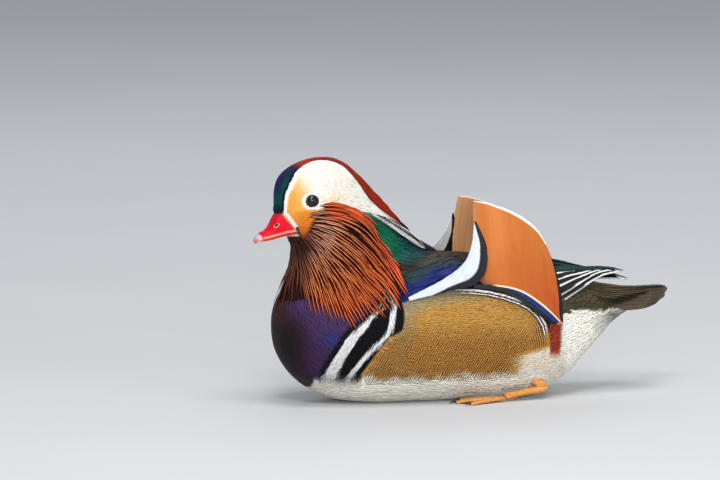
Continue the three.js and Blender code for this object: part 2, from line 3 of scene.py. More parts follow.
import bpy
import numpy as np
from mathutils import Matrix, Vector
from mathutils.bvhtree import BVHTree


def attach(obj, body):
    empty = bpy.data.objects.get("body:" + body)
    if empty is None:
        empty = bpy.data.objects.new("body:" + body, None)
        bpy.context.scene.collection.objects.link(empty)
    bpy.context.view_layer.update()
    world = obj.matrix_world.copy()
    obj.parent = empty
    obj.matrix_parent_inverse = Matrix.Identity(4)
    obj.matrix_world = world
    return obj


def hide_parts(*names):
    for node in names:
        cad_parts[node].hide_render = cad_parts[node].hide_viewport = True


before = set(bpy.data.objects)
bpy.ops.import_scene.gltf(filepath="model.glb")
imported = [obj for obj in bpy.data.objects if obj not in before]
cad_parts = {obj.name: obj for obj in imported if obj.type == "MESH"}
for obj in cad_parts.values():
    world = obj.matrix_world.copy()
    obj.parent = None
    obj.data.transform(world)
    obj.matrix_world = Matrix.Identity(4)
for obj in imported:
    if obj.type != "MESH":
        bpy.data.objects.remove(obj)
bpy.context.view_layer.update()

MM = 0.001
RNG = np.random.default_rng(11)

# ----------------------------------------------------------------- camera, floor, light
AZ, EL, FAR = math.radians(163), math.radians(7), 8.0
AIM = np.array([68.0, -38.0, 132.0])
PX_MM = 0.85
BACK = np.array([math.sin(AZ) * math.cos(EL), -math.cos(AZ) * math.cos(EL), math.sin(EL)])
RIGHT = np.array([math.cos(AZ), math.sin(AZ), 0.0])
UP = np.cross(BACK, RIGHT)


def camera():
    data = bpy.data.cameras.new("camera")
    data.lens = 470.6
    data.sensor_width = 36
    data.clip_end = 60
    ob = bpy.data.objects.new("camera", data)
    ob.location = Vector(AIM * MM + BACK * FAR)
    ob.rotation_euler = Vector(-BACK).to_track_quat("-Z", "Y").to_euler()
    bpy.context.scene.collection.objects.link(ob)
    bpy.context.scene.camera = ob


def area(name, at, size, power, colour=(1, 1, 1)):
    data = bpy.data.lights.new(name, "AREA")
    data.shape = "RECTANGLE"
    data.size, data.size_y = size
    data.energy = power
    data.color = colour
    ob = bpy.data.objects.new(name, data)
    ob.location = at
    ob.rotation_euler = (Vector((0, 0, 0.09)) - Vector(at)).to_track_quat("-Z", "Y").to_euler()
    bpy.context.scene.collection.objects.link(ob)


# ------------------------------------------------------------------------ small maths
def through(xs, ys):
    xs, ys = np.asarray(xs, float), np.asarray(ys, float)
    d = np.diff(ys) / np.diff(xs)
    m = np.zeros(len(xs))
    m[0], m[-1] = d[0], d[-1]
    for i in range(1, len(xs) - 1):
        m[i] = 0 if d[i - 1] * d[i] <= 0 else 2 * d[i - 1] * d[i] / (d[i - 1] + d[i])

    def f(x):
        x = np.clip(np.asarray(x, float), xs[0], xs[-1])
        i = np.clip(np.searchsorted(xs, x, side="right") - 1, 0, len(xs) - 2)
        h = xs[i + 1] - xs[i]
        t = (x - xs[i]) / h
        return ys[i] * (1 + 2 * t) * (1 - t) ** 2 + ys[i + 1] * t * t * (3 - 2 * t) + h * (m[i] * t * (1 - t) ** 2 - m[i + 1] * t * t * (1 - t))

    return f


def by_station(v):
    return through(np.arange(len(v)), v)


def sm(a, b, x):
    t = np.clip((np.asarray(x, float) - a) / (b - a), 0, 1)
    return t * t * (3 - 2 * t)


def power(c, e):
    return np.sign(c) * np.abs(c) ** e


def unit(v):
    return v / np.maximum(np.linalg.norm(v, axis=-1, keepdims=True), 1e-9)


def wave(p, scale, seed=0):
    """Smooth value in -1..1 that varies over `scale` mm, the same on every run."""
    r = np.random.default_rng(100 + seed)
    out = np.zeros(len(p))
    for _ in range(7):
        k = r.normal(size=3) / scale * 2.2
        out += np.sin(p @ k + r.uniform(0, 6.28))
    return out / 3.2


# ------------------------------------------------------------------ the body's own shape
HEAD_X, TURN = 95.0, math.radians(10)
TRUNK = dict(
    x=[-157, -152, -141, -121, -95, -65, -25, 20, 60, 95, 122, 142, 153.5, 157],
    half=[0, 10, 20, 31, 42.5, 53, 61.5, 64, 61, 54.5, 46, 33.5, 17, 0],
    low=[79, 71, 58, 36, 12, 0, -2, -2, -2, 1, 10, 26, 46, 65],
    mid=[79, 79, 77, 73, 67, 64, 62, 61, 62, 64, 66, 67, 66, 65],
    high=[79, 85, 90, 97, 105, 115, 122, 125, 125, 121.5, 115, 102, 84, 65],
)
HEAD = dict(
    z=[66, 74, 88, 104, 116, 124, 131, 138, 145, 152, 160, 168, 178, 188, 195.5, 201.5, 206, 208.4, 209.4],
    front=[38, 52, 56, 51, 46, 45.4, 45.6, 48.4, 53, 56.5, 61.5, 64, 64.1, 62.6, 58.6, 51, 41, 31, 20],
    wide=[12, 12, 10, 6, 5, 6, 8, 12, 17, 22, 27, 31, 32, 31, 28, 25, 23, 21.5, 20],
    rear=[-5, -20, -36, -47, -61, -76, -78, -71, -63.4, -56, -48.4, -40.8, -30.4, -20.5, -12, -4.6, 3.4, 10.5, 20],
    half=[28, 38, 43, 41.5, 38.5, 36, 33.5, 30.5, 28, 26, 24, 22.6, 21.8, 20.2, 17.4, 13.8, 9.6, 5.8, 0],
    taper=[1, 1, 1.2, 1.6, 2.2, 2.8, 3, 2.8, 2.6, 2.4, 2.2, 2, 1.8, 1.6, 1.4, 1.2, 1.1, 1, 1],
    nose=[1, 1, 1, 1, 1.05, 1.1, 1.2, 1.25, 1.3, 1.25, 1.2, 1.15, 1.1, 1.05, 1, 1, 1, 1, 1],
)
BILL = dict(
    a=[49.3, 51, 54.8, 58, 60.4, 63.2, 65.9, 67.8, 70.6, 74, 77.3, 80.2, 82.2, 83.3],
    ridge=[151.6, 154.2, 158.9, 162.8, 165.2, 163.2, 159.4, 155.8, 152.2, 149.8, 148.4, 146.4, 144.4, 142],
    mouth=[147.7, 147.3, 146.6, 145.9, 145.4, 144.8, 144.2, 143.8, 143.2, 142.4, 141.8, 141.3, 141, 140.8],
    keel=[144.6, 144.5, 144, 143.5, 143.1, 142.5, 141.8, 141.3, 140.7, 140.1, 139.7, 139.3, 139.2, 139.2],
    half=[7.8, 8.1, 8.4, 8.5, 8.4, 8.1, 7.8, 7.6, 7.2, 6.8, 6.3, 5.4, 3.8, 1.6],
    box=[0.55, 0.5, 0.5, 0.5, 0.5, 0.55, 0.64, 0.7, 0.78, 0.85, 0.9, 0.96, 1, 1],
)
EYE = dict(a=38.8, z=174.8, r=6.3, sink=3.6)
TRUNK_AT = {k: by_station(v) for k, v in TRUNK.items()}
HEAD_AT = {k: by_station(v) for k, v in HEAD.items()}
BILL_AT = {k: through(BILL["a"], v) for k, v in BILL.items()}
_ti = np.linspace(0, 13, 800)
_tx = TRUNK_AT["x"](_ti)
_hi = np.linspace(0, 18, 800)
_hz = HEAD_AT["z"](_hi)


def turn_at(z):
    return TURN * sm(98, 146, z)


def from_head(a, b, z, turn=None):
    a, b, z = np.broadcast_arrays(np.asarray(a, float), np.asarray(b, float), np.asarray(z, float))
    t = turn_at(z) if turn is None else turn
    return np.stack([HEAD_X + a * np.cos(t) - b * np.sin(t), a * np.sin(t) + b * np.cos(t), z], -1)


def to_head(p):
    t = turn_at(p[:, 2])
    dx = p[:, 0] - HEAD_X
    return np.stack([dx * np.cos(t) + p[:, 1] * np.sin(t), -dx * np.sin(t) + p[:, 1] * np.cos(t), p[:, 2]], -1)


def turn_vec(v, z, back=False):
    t = turn_at(z) * (-1 if back else 1)
    return np.stack([v[:, 0] * np.cos(t) - v[:, 1] * np.sin(t), v[:, 0] * np.sin(t) + v[:, 1] * np.cos(t), v[:, 2]], -1)


def trunk_point(s, phi):
    i = s * 13
    c, k = np.cos(phi), np.sin(phi)
    mid = TRUNK_AT["mid"](i)
    reach = np.where(k >= 0, TRUNK_AT["high"](i) - mid, mid - TRUNK_AT["low"](i))
    z = mid + reach * power(k, 2 / 2.2)
    return np.stack([TRUNK_AT["x"](i), TRUNK_AT["half"](i) * power(c, 2 / 2.2), np.maximum(z, 0)], -1)


def head_point(s, phi):
    i = s * 18
    z = HEAD_AT["z"](i)
    c, k = np.cos(phi), np.sin(phi)
    wide = HEAD_AT["wide"](i)
    a = wide + c * np.where(c >= 0, HEAD_AT["front"](i) - wide, wide - HEAD_AT["rear"](i))
    b = HEAD_AT["half"](i) * power(k, np.where(c >= 0, HEAD_AT["nose"](i), HEAD_AT["taper"](i)))
    return from_head(a, b, z)


def trunk_f(p):
    """About 1 on the trunk's surface, less inside it."""
    i = np.interp(p[:, 0], _tx, _ti)
    mid = TRUNK_AT["mid"](i)
    reach = np.where(p[:, 2] >= mid, TRUNK_AT["high"](i) - mid, mid - TRUNK_AT["low"](i))
    f = (np.abs(p[:, 1]) / np.maximum(TRUNK_AT["half"](i), 0.5)) ** 2.2 + (np.abs(p[:, 2] - mid) / np.maximum(reach, 0.5)) ** 2.2
    return np.where((p[:, 0] < -157) | (p[:, 0] > 157), 9, f ** (1 / 2.2))


def head_f(p):
    q = to_head(p)
    i = np.interp(q[:, 2], _hz, _hi)
    wide = HEAD_AT["wide"](i)
    c = np.where(q[:, 0] >= wide, (q[:, 0] - wide) / np.maximum(HEAD_AT["front"](i) - wide, 0.5), (wide - q[:, 0]) / np.maximum(wide - HEAD_AT["rear"](i), 0.5))
    e = np.where(q[:, 0] >= wide, HEAD_AT["nose"](i), HEAD_AT["taper"](i))
    k = (np.abs(q[:, 1]) / np.maximum(HEAD_AT["half"](i), 0.3)) ** (1 / e)
    f = np.sqrt(c * c + k * k)
    return np.where((q[:, 2] > 209.4) | (q[:, 2] < 66), 9, f)


def cheek_at(a, z):
    i = np.interp(z, _hz, _hi)
    wide = HEAD_AT["wide"](i)
    c = (a - wide) / (HEAD_AT["front"](i) - wide) if a >= wide else (a - wide) / (wide - HEAD_AT["rear"](i))
    k = math.sqrt(max(0, 1 - c * c))
    return float(HEAD_AT["half"](i) * k ** (HEAD_AT["nose"](i) if c >= 0 else HEAD_AT["taper"](i)))


EYE_AT = {s: from_head(EYE["a"], s * (cheek_at(EYE["a"], EYE["z"]) - EYE["sink"]), EYE["z"], TURN) for s in (1, -1)}


def loft_grid(fn, rings, around):
    """Closed surface over s and phi: its first and last rings are single points."""
    s = np.linspace(0, 1, rings)
    phi = np.linspace(0, 2 * np.pi, around, endpoint=False)
    S, P = np.meshgrid(s[1:-1], phi, indexing="ij")
    body = fn(S.ravel(), P.ravel())
    ends = [fn(np.full(around, e), phi).mean(0) for e in (0.0, 1.0)]
    co = np.vstack([body, ends])
    n = rings - 2
    idx = np.arange(n * around).reshape(n, around)
    nxt = np.roll(idx, -1, 1)
    quads = np.stack([idx[:-1], nxt[:-1], nxt[1:], idx[1:]], -1).reshape(-1, 4)
    a, b = n * around, n * around + 1
    tris = np.vstack([np.stack([np.full(around, a), nxt[0], idx[0]], -1), np.stack([np.full(around, b), idx[-1], nxt[-1]], -1)])
    return co, quads, tris


# --------------------------------------------------------------------- mesh building
def mesh_of(name, co, quads=None, tris=None, smooth=True, link=True):
    me = bpy.data.meshes.new(name)
    me.vertices.add(len(co))
    me.vertices.foreach_set("co", (np.asarray(co, float) * MM).ravel())
    parts, starts, at = [], [], 0
    for f in (quads, tris):
        if f is not None and len(f):
            f = np.asarray(f)
            parts.append(f.ravel())
            starts.append(at + np.arange(len(f)) * f.shape[1])
            at += f.size
    loops = np.concatenate(parts)
    starts = np.concatenate(starts)
    me.loops.add(len(loops))
    me.loops.foreach_set("vertex_index", loops.astype(np.int32))
    me.polygons.add(len(starts))
    me.polygons.foreach_set("loop_start", starts.astype(np.int32))
    me.update(calc_edges=True)
    me.validate()
    flags = np.ones(len(me.polygons), bool)
    if smooth is not True and np.size(smooth) == len(flags):
        flags = np.asarray(smooth, bool)
    me.polygons.foreach_set("use_smooth", flags)
    ob = bpy.data.objects.new(name, me)
    if link:
        bpy.context.scene.collection.objects.link(ob)
    return ob


def put(ob, name, values):
    me = ob.data
    values = np.asarray(values, np.float32)
    if values.ndim == 1:
        me.attributes.new(name, "FLOAT", "POINT").data.foreach_set("value", values)
    else:
        if values.shape[1] == 3:
            values = np.hstack([values, np.ones((len(values), 1), np.float32)])
        me.attributes.new(name, "FLOAT_COLOR", "POINT").data.foreach_set("color", values.ravel())


def put_uv(ob, uv):
    me = ob.data
    loops = np.empty(len(me.loops), np.int32)
    me.loops.foreach_get("vertex_index", loops)
    layer = me.uv_layers.new(name="OFBake")
    layer.data.foreach_set("uv", np.asarray(uv, np.float32)[loops].ravel())


def lin(rgb):
    c = np.asarray(rgb, float) / 255.0
    return np.where(c <= 0.04045, c / 12.92, ((c + 0.055) / 1.055) ** 2.4)


# -------------------------------------------------------------------------- materials
class Look:
    """A node material in few words."""

    def __init__(self, name, rough=0.6, **sockets):
        self.m = bpy.data.materials.new(name)
        self.m.use_nodes = True
        self.t = self.m.node_tree
        self.t.nodes.clear()
        out = self.t.nodes.new("ShaderNodeOutputMaterial")
        self.b = self.t.nodes.new("ShaderNodeBsdfPrincipled")
        self.t.links.new(self.b.outputs[0], out.inputs[0])
        self.set("Roughness", rough)
        for k, v in sockets.items():
            self.set(k.replace("_", " "), v)

    def set(self, socket, v):
        if isinstance(v, bpy.types.NodeSocket):
            self.t.links.new(v, self.b.inputs[socket])
        else:
            self.b.inputs[socket].default_value = v

    def _in(self, node, i, v):
        if isinstance(v, bpy.types.NodeSocket):
            self.t.links.new(v, node.inputs[i])
        elif v is not None:
            if hasattr(node.inputs[i].default_value, "__len__") and not hasattr(v, "__len__"):
                v = (v, v, v)
            if hasattr(v, "__len__") and len(v) == 3 and hasattr(node.inputs[i].default_value, "__len__") and len(node.inputs[i].default_value) == 4:
                v = (*v, 1)
            node.inputs[i].default_value = v

    def attr(self, name, kind="Fac"):
        n = self.t.nodes.new("ShaderNodeAttribute")
        n.attribute_name = name
        return n.outputs[kind]

    def math(self, op, a, b=None, c=None):
        n = self.t.nodes.new("ShaderNodeMath")
        n.operation = op
        for i, v in enumerate((a, b, c)):
            if v is not None:
                self._in(n, i, v)
        return n.outputs[0]

    def step(self, x, lo, hi, a=0.0, b=1.0):
        n = self.t.nodes.new("ShaderNodeMapRange")
        n.interpolation_type = "SMOOTHSTEP"
        for i, v in enumerate((x, lo, hi, a, b)):
            self._in(n, i, v)
        return n.outputs[0]

    def mix(self, f, a, b, mode="MIX"):
        n = self.t.nodes.new("ShaderNodeMix")
        n.data_type = "RGBA"
        n.blend_type = mode
        self._in(n, 0, f)
        self._in(n, 6, a)
        self._in(n, 7, b)
        return n.outputs[2]

    def where(self):
        return self.t.nodes.new("ShaderNodeTexCoord").outputs["Object"]

    def noise(self, scale, detail=2.0, vector=None, rough=0.5, colour=False):
        n = self.t.nodes.new("ShaderNodeTexNoise")
        self._in(n, "Scale", scale)
        self._in(n, "Detail", detail)
        self._in(n, "Roughness", rough)
        self.t.links.new(vector or self.where(), n.inputs["Vector"])
        return n.outputs["Color" if colour else "Fac"]

    def stretch(self, v, s):
        n = self.t.nodes.new("ShaderNodeVectorMath")
        n.operation = "MULTIPLY"
        self._in(n, 0, v)
        n.inputs[1].default_value = s
        return n.outputs[0]

    def pack(self, x, y, z=0.0):
        n = self.t.nodes.new("ShaderNodeCombineXYZ")
        for i, v in enumerate((x, y, z)):
            self._in(n, i, v)
        return n.outputs[0]

    def bump(self, height, distance=0.0003, strength=0.5):
        n = self.t.nodes.new("ShaderNodeBump")
        n.inputs["Distance"].default_value = distance
        n.inputs["Strength"].default_value = strength
        self.t.links.new(height, n.inputs["Height"])
        self.t.links.new(n.outputs[0], self.b.inputs["Normal"])


# ------------------------------------------------------------- the body's outer surface
def reference_surface():
    """Trunk, head and forehead point in one closed skin, at the outer level of the coat."""
    grids = [loft_grid(trunk_point, 150, 160), loft_grid(head_point, 150, 150)]

    def point(s, phi):
        th = math.pi * s
        return from_head(57.6 + 8.2 * np.cos(th), 5.4 * np.sin(th) * np.cos(phi), 167.2 + 8 * np.sin(th) * np.sin(phi), TURN)

    grids.append(loft_grid(point, 24, 24))
    co, quads, tris, at = [], [], [], 0
    for c, q, t in grids:
        co.append(c), quads.append(q + at), tris.append(t + at)
        at += len(c)
    ob = mesh_of("outer", np.vstack(co), np.vstack(quads), np.vstack(tris))
    mod = ob.modifiers.new("fuse", "REMESH")
    mod.mode, mod.voxel_size, mod.adaptivity = "VOXEL", 1.5 * MM, 0
    me = bpy.data.meshes.new_from_object(ob.evaluated_get(bpy.context.evaluated_depsgraph_get()))
    bpy.data.objects.remove(ob)
    V = np.empty(len(me.vertices) * 3, np.float32)
    me.vertices.foreach_get("co", V)
    V = V.reshape(-1, 3).astype(float) / MM
    F = np.empty(len(me.loops), np.int32)
    me.loops.foreach_get("vertex_index", F)
    F = F.reshape(-1, 4)
    edges = np.vstack([F[:, [0, 1]], F[:, [1, 2]], F[:, [2, 3]], F[:, [3, 0]]])
    count = np.bincount(edges[:, 0], minlength=len(V)) + np.bincount(edges[:, 1], minlength=len(V))
    far = np.maximum((trunk_f(V) - 1) * 55, (head_f(V) - 1) * 36)
    seam = np.exp(-((np.clip(far, 0, 99) / 9) ** 2))
    seam[V[:, 2] < 70] = 0
    for k in range(16):
        mean = np.stack([np.bincount(edges[:, 0], V[edges[:, 1], i], len(V)) + np.bincount(edges[:, 1], V[edges[:, 0], i], len(V)) for i in range(3)], -1) / count[:, None]
        w = np.maximum(seam * 0.7, 0.45 if k < 4 else 0.0)
        V += (mean - V) * w[:, None]
    V[:, 2] = np.maximum(V[:, 2], 0.0)
    return V, F


def vertex_normals(V, F):
    fn = np.cross(V[F[:, 2]] - V[F[:, 0]], V[F[:, 3]] - V[F[:, 1]])
    n = np.zeros_like(V)
    for c in range(4):
        for i in range(3):
            n[:, i] += np.bincount(F[:, c], fn[:, i], len(V))
    return unit(n)


V0, F0 = reference_surface()
N0 = vertex_normals(V0, F0)
if (N0 * (V0 - V0.mean(0))).sum() < 0:
    F0, N0 = F0[:, ::-1].copy(), -N0
TREE = BVHTree.FromPolygons(V0.tolist(), F0.tolist())
NF = unit(N0[F0].mean(1))


def settle(P):
    """Nearest place on the outer surface, with its normal."""
    at, idx = np.empty((len(P), 3)), np.empty(len(P), int)
    near = TREE.find_nearest
    for i, p in enumerate(P.tolist()):
        loc, _, k, _ = near(p)
        at[i] = loc
        idx[i] = k
    f = F0[idx]
    w = 1 / (((V0[f] - at[:, None]) ** 2).sum(-1) + 0.3)
    return at, unit((N0[f] * w[..., None]).sum(1))


def scatter(count, seed):
    """Random places on the outer surface, denser on the head."""
    r = np.random.default_rng(seed)
    tri = np.vstack([F0[:, [0, 1, 2]], F0[:, [0, 2, 3]]])
    a = np.linalg.norm(np.cross(V0[tri[:, 1]] - V0[tri[:, 0]], V0[tri[:, 2]] - V0[tri[:, 0]]), axis=1)
    a = a * (1 + 4 * sm(112, 124, V0[tri[:, 0], 2]))
    t = tri[r.choice(len(tri), count, p=a / a.sum())]
    u, v = r.random(count), r.random(count)
    f = u + v > 1
    u[f], v[f] = 1 - u[f], 1 - v[f]
    w = np.stack([1 - u - v, u, v], -1)[..., None]
    return (V0[t] * w).sum(1), unit((N0[t] * w).sum(1))


def thin_out(P, r):
    """Keeps places at least r apart (r may vary); returns their indices."""
    r = np.broadcast_to(np.asarray(r, float), len(P))
    cell = float(np.max(r)) if len(P) else 1.0
    grid, keep = {}, []
    keys = np.floor(P / cell).astype(int).tolist()
    pts, rr = P.tolist(), r.tolist()
    for i, (kx, ky, kz) in enumerate(keys):
        x, y, z = pts[i]
        q = rr[i] * rr[i]
        ok = True
        for dx in (-1, 0, 1):
            for dy in (-1, 0, 1):
                for dz in (-1, 0, 1):
                    for j in grid.get((kx + dx, ky + dy, kz + dz), ()):
                        a, b, c = pts[j]
                        if (a - x) ** 2 + (b - y) ** 2 + (c - z) ** 2 < q:
                            ok = False
                            break
                    if not ok:
                        break
                if not ok:
                    break
            if not ok:
                break
        if ok:
            keep.append(i)
            grid.setdefault((kx, ky, kz), []).append(i)
    return np.array(keep, int)


# ------------------------------------------------------------------- where things are
def to_px(p):
    d = p - AIM
    s = (FAR / MM) / (FAR / MM - d @ BACK)
    return 450 + (d @ RIGHT * s + AIM @ RIGHT) / PX_MM, 397 - (d @ UP * s + AIM @ UP) / PX_MM


def side_view(p, head):
    """The place in the side plan of the bird, the same for both of its sides."""
    q = to_head(p)
    m = p.copy()
    m[:, 1] = np.abs(m[:, 1])
    h = from_head(q[:, 0], np.abs(q[:, 1]), q[:, 2])
    return to_px(np.where(head[:, None], h, m))


def line(x, pts):
    pts = np.asarray(pts, float)
    return np.interp(x, pts[:, 0], pts[:, 1])


def near_line(X, Y, pts):
    """Distance to a polyline and how far along it (0..1)."""
    pts = np.asarray(pts, float)
    best, along = np.full(len(X), 1e9), np.zeros(len(X))
    seg = np.linalg.norm(np.diff(pts, axis=0), axis=1)
    cum = np.concatenate([[0], np.cumsum(seg)])
    for i in range(len(pts) - 1):
        a, b = pts[i], pts[i + 1]
        t = np.clip(((X - a[0]) * (b[0] - a[0]) + (Y - a[1]) * (b[1] - a[1])) / max(seg[i] ** 2, 1e-9), 0, 1)
        d = np.hypot(X - a[0] - t * (b[0] - a[0]), Y - a[1] - t * (b[1] - a[1]))
        hit = d < best
        best = np.where(hit, d, best)
        along = np.where(hit, (cum[i] + t * seg[i]) / cum[-1], along)
    return best, along


def blend(C, colour, f):
    f = np.clip(f, 0, 1)[:, None]
    return C * (1 - f) + np.asarray(colour, float) * f


# side plan of the markings (x to the tail, y down)
RUFF_REAR = [(207, 336), (208.5, 345), (212, 356), (217, 364), (224, 372), (235, 378), (245, 383), (252, 388), (262, 395), (272, 401), (285, 405), (300, 407), (312, 398), (330, 380)]
RUFF_FRONT = [(205, 327), (208, 325), (214, 320), (222, 313), (232, 308), (240, 303), (248, 298), (262, 291), (300, 272)]
BROW_LOW = [(296, 212), (304, 210.5), (318, 210), (325, 207.8), (336, 206.8), (345, 208.2), (356, 211), (370, 213), (380, 215.5), (390, 219), (397, 222.5), (411, 231), (430, 243)]
LINE_2 = [(368, 211.8), (374, 214.5), (380, 218.5), (390, 224.5), (400, 231.5), (412, 240), (428, 251.5), (440, 260)]
BAR_1 = ([(300, 384), (308, 377), (315, 371), (320, 366), (326, 360), (332, 353), (339, 347), (346, 343), (360, 334), (374, 326)], [(300, 386), (306, 383), (314, 378), (321, 372), (328, 368), (334, 363), (339, 359), (346, 355), (360, 346), (374, 340)])
BAR_2 = ([(296, 391), (305, 391.5), (315, 391), (325, 389), (334, 386), (341, 379), (348, 371), (358, 362), (374, 350)], [(296, 393.5), (307, 396.5), (316, 396.5), (327, 394), (336, 390), (343, 383), (350, 375), (361, 366), (374, 356)])
BLACK_REAR = [(300, 401), (306, 403), (312, 404.5), (322, 404.5), (330, 403), (334, 399), (337, 391), (344, 385), (350, 380), (362, 371), (374, 362)]
FLANK_TOP = [(398, 306), (404, 303), (420, 297), (440, 291.5), (455, 289.5), (475, 289.8), (490, 291.5), (505, 295), (520, 300), (532, 306.5), (541, 315), (547, 325), (550, 337), (551.5, 350), (552, 364)]
CROWN_TH = [-12, -8, 4.7, 14.7, 23.2, 32, 43, 52.4, 63, 73.6, 81.5, 94.7, 111.7, 129, 145, 157.9, 169.5, 181, 190, 193.7, 196.2, 199.2, 205]
CROWN_B = [8.2, 9, 10, 10.7, 11.8, 11.7, 9.6, 8.2, 7.2, 6.8, 7.0, 8.2, 9.0, 9.5, 9.7, 9.7, 9.8, 9.6, 7.4, 5.4, 3.4, 2.0, 1]


def places(p, head):
    """Everything that the markings and the lie of the coat need to know."""
    q = to_head(p)
    X, Y = side_view(p, head)
    a, b, z = q[:, 0], np.abs(q[:, 1]), q[:, 2]
    th = np.degrees(np.arctan2(z - 172, a - 20))
    th = np.where(th < -60, th + 360, th)
    g = dict(q=q, X=X, Y=Y, a=a, b=b, z=z, th=th, head=head, x=p[:, 0], y=np.abs(p[:, 1]))
    top = head & (th > -12) & (th < 205) & (z > 128)
    g["crown"] = top & (b < np.interp(th, CROWN_TH, CROWN_B))
    g["crown_out"] = np.where(top, b - np.interp(th, CROWN_TH, CROWN_B), 99.0)
    rear = np.interp(Y, *np.transpose(RUFF_REAR))
    front = np.interp(Y, *np.transpose(RUFF_FRONT))
    g["ruff_in"] = np.minimum(rear - X, X - front)
    g["front_x"], g["rear_x"] = front, rear
    brow_y = line(X, BROW_LOW)
    g["brow"] = head & ~g["crown"] & (Y < brow_y) & (Y < 250)
    g["brow_in"] = brow_y - Y
    g["ruff"] = (X > front) & (X < rear) & (Y > 204) & ~g["brow"] & ~g["crown"] & (head | (Y < 316)) & ((p[:, 0] > 40) | head)
    g["nape"] = head & (X >= rear) & ~g["brow"] & ~g["crown"] & (Y < 275)
    g["line2"] = line(X, LINE_2)
    g["face"] = head & (X <= front) & ~g["brow"] & ~g["crown"] & (Y < 250)
    return g


def head_colours(g):
    X, Y, a, b, z, th = (g[k] for k in ("X", "Y", "a", "b", "z", "th"))
    n = len(X)
    C = np.tile(np.array([52.0, 16, 12]), (n, 1))
    # cheek, chin and throat
    cheek = np.tile(np.array([240.0, 164, 66]), (n, 1))
    cheek = blend(cheek, (224, 128, 36), sm(207, 218, Y) * sm(290, 306, X))
    cheek = blend(cheek, (190, 92, 34), sm(222, 236, Y - (X - 300) * 0.3))
    # the dark throat, darkest in a spot under the bill, is partly its own colour, partly painted shadow from the head
    # and bill
    throat = blend(np.tile(np.array([52.0, 24, 16]), (n, 1)), (34, 14, 10), np.exp(-(((X - 304) / 7) ** 2 + ((Y - 246) / 7) ** 2)))
    cheek = blend(cheek, throat, sm(-3, 3, Y - line(X, [(284, 233), (298, 233), (303, 238), (308, 241), (314, 236), (322, 232)])))
    chin = head_chin(X, Y, b)
    cheek = blend(cheek, (205, 196, 186), chin)
    C = blend(C, cheek, sm(4, -2, X - g["front_x"]))
    # brow: white at its rim and behind, buff before the eye
    brow = np.tile(np.array([246.0, 241, 231]), (n, 1))
    gold = sm(1.45, 0.1, (np.maximum(0, X - 286) / 30) ** 1.4 + (np.maximum(0, 204 - Y) / 36) ** 1.4)
    gold = np.maximum(gold, 0.30 * np.exp(-(((X - 333) / 13) ** 2 + ((Y - 200) / 4.5) ** 2)))
    brow = blend(brow, (243, 170, 74), gold)
    brow = blend(brow, (250, 249, 246), sm(3.4, 1.2, g["crown_out"]) * sm(150, 100, th))
    C = blend(C, brow, g["brow"].astype(float))
    low = g["face"] & (Y < 213)
    C = blend(C, brow, low * sm(213, 207, Y))
    # ring of the eye and the wedge behind it
    ring = np.hypot((X - 312) / 9.4, (Y - 201.6) / 8.6)
    C = blend(C, (252, 251, 248), sm(1.06, 0.96, ring) * g["head"])
    wedge = (X > 314) & (X < 327) & (Y > 203 + (X - 314) * 0.24) & (Y < line(X, BROW_LOW))
    C = blend(C, (252, 251, 248), wedge * 1.0)
    # white line along the bill's base
    base_d, _ = near_line(X, Y, [(283.5, 211.5), (290, 219), (295.5, 226.5), (299, 232.5)])
    C = blend(C, (252, 250, 247), sm(2.3, 1.5, base_d) * (g["face"] | g["brow"]))
    # painted shadow: a dark line between the bill's base and the white feather line
    bill_base_shadow, _ = near_line(X, Y, [(297.5, 229), (299.5, 233.5)])
    C = blend(C, (60, 40, 34), sm(2.2, 1.0, bill_base_shadow) * g["face"])
    # nape: emerald, blue black along its top, with the second white line
    nape = np.tile(np.array([4.0, 104, 78]), (n, 1))
    nape = blend(nape, (0, 128, 84), np.exp(-(((X - 385) / 9) ** 2 + ((Y - 238) / 14) ** 2)))
    nape = blend(nape, (10, 78, 84), sm(392, 412, X))
    nape = blend(nape, (20, 26, 44), sm(9, 2, Y - g["line2"]) * sm(378, 400, X))
    nape = blend(nape, (18, 16, 26), sm(1.0, -1.0, Y - g["line2"]))
    nape = blend(nape, (60, 44, 30), sm(-2, 4, Y - line(X, [(395, 268), (410, 262), (430, 255)])))
    C = blend(C, nape, g["nape"].astype(float))
    # forehead and crown
    crown = np.tile(np.array([0.0, 70, 72]), (n, 1))
    crown = blend(crown, (36, 26, 84), sm(3, -4, b - np.interp(th, CROWN_TH, CROWN_B) * 0.55) * sm(2, 22, th))
    crown = blend(crown, (24, 32, 66), sm(26, 44, th))
    crown = blend(crown, (8, 14, 22), sm(2.6, 0.4, np.abs(g["crown_out"])) * sm(60, 30, th))
    crown = blend(crown, (14, 30, 36), sm(2, -8, th))
    crown = blend(crown, (168, 44, 20), sm(44, 58, th))
    crown = blend(crown, (96, 26, 22), sm(2.2, 0.4, np.abs(g["crown_out"])) * sm(60, 100, th) * 0.7)
    crown = blend(crown, (30, 20, 40), sm(194, 199, th))
    crown = blend(crown, (110, 120, 140), sm(419, 430, X))
    return blend(C, crown, g["crown"].astype(float))


def head_chin(X, Y, b):
    return sm(1.8, 0.8, np.abs(Y - 235.8)) * sm(283, 287, X) * sm(301, 298, X)


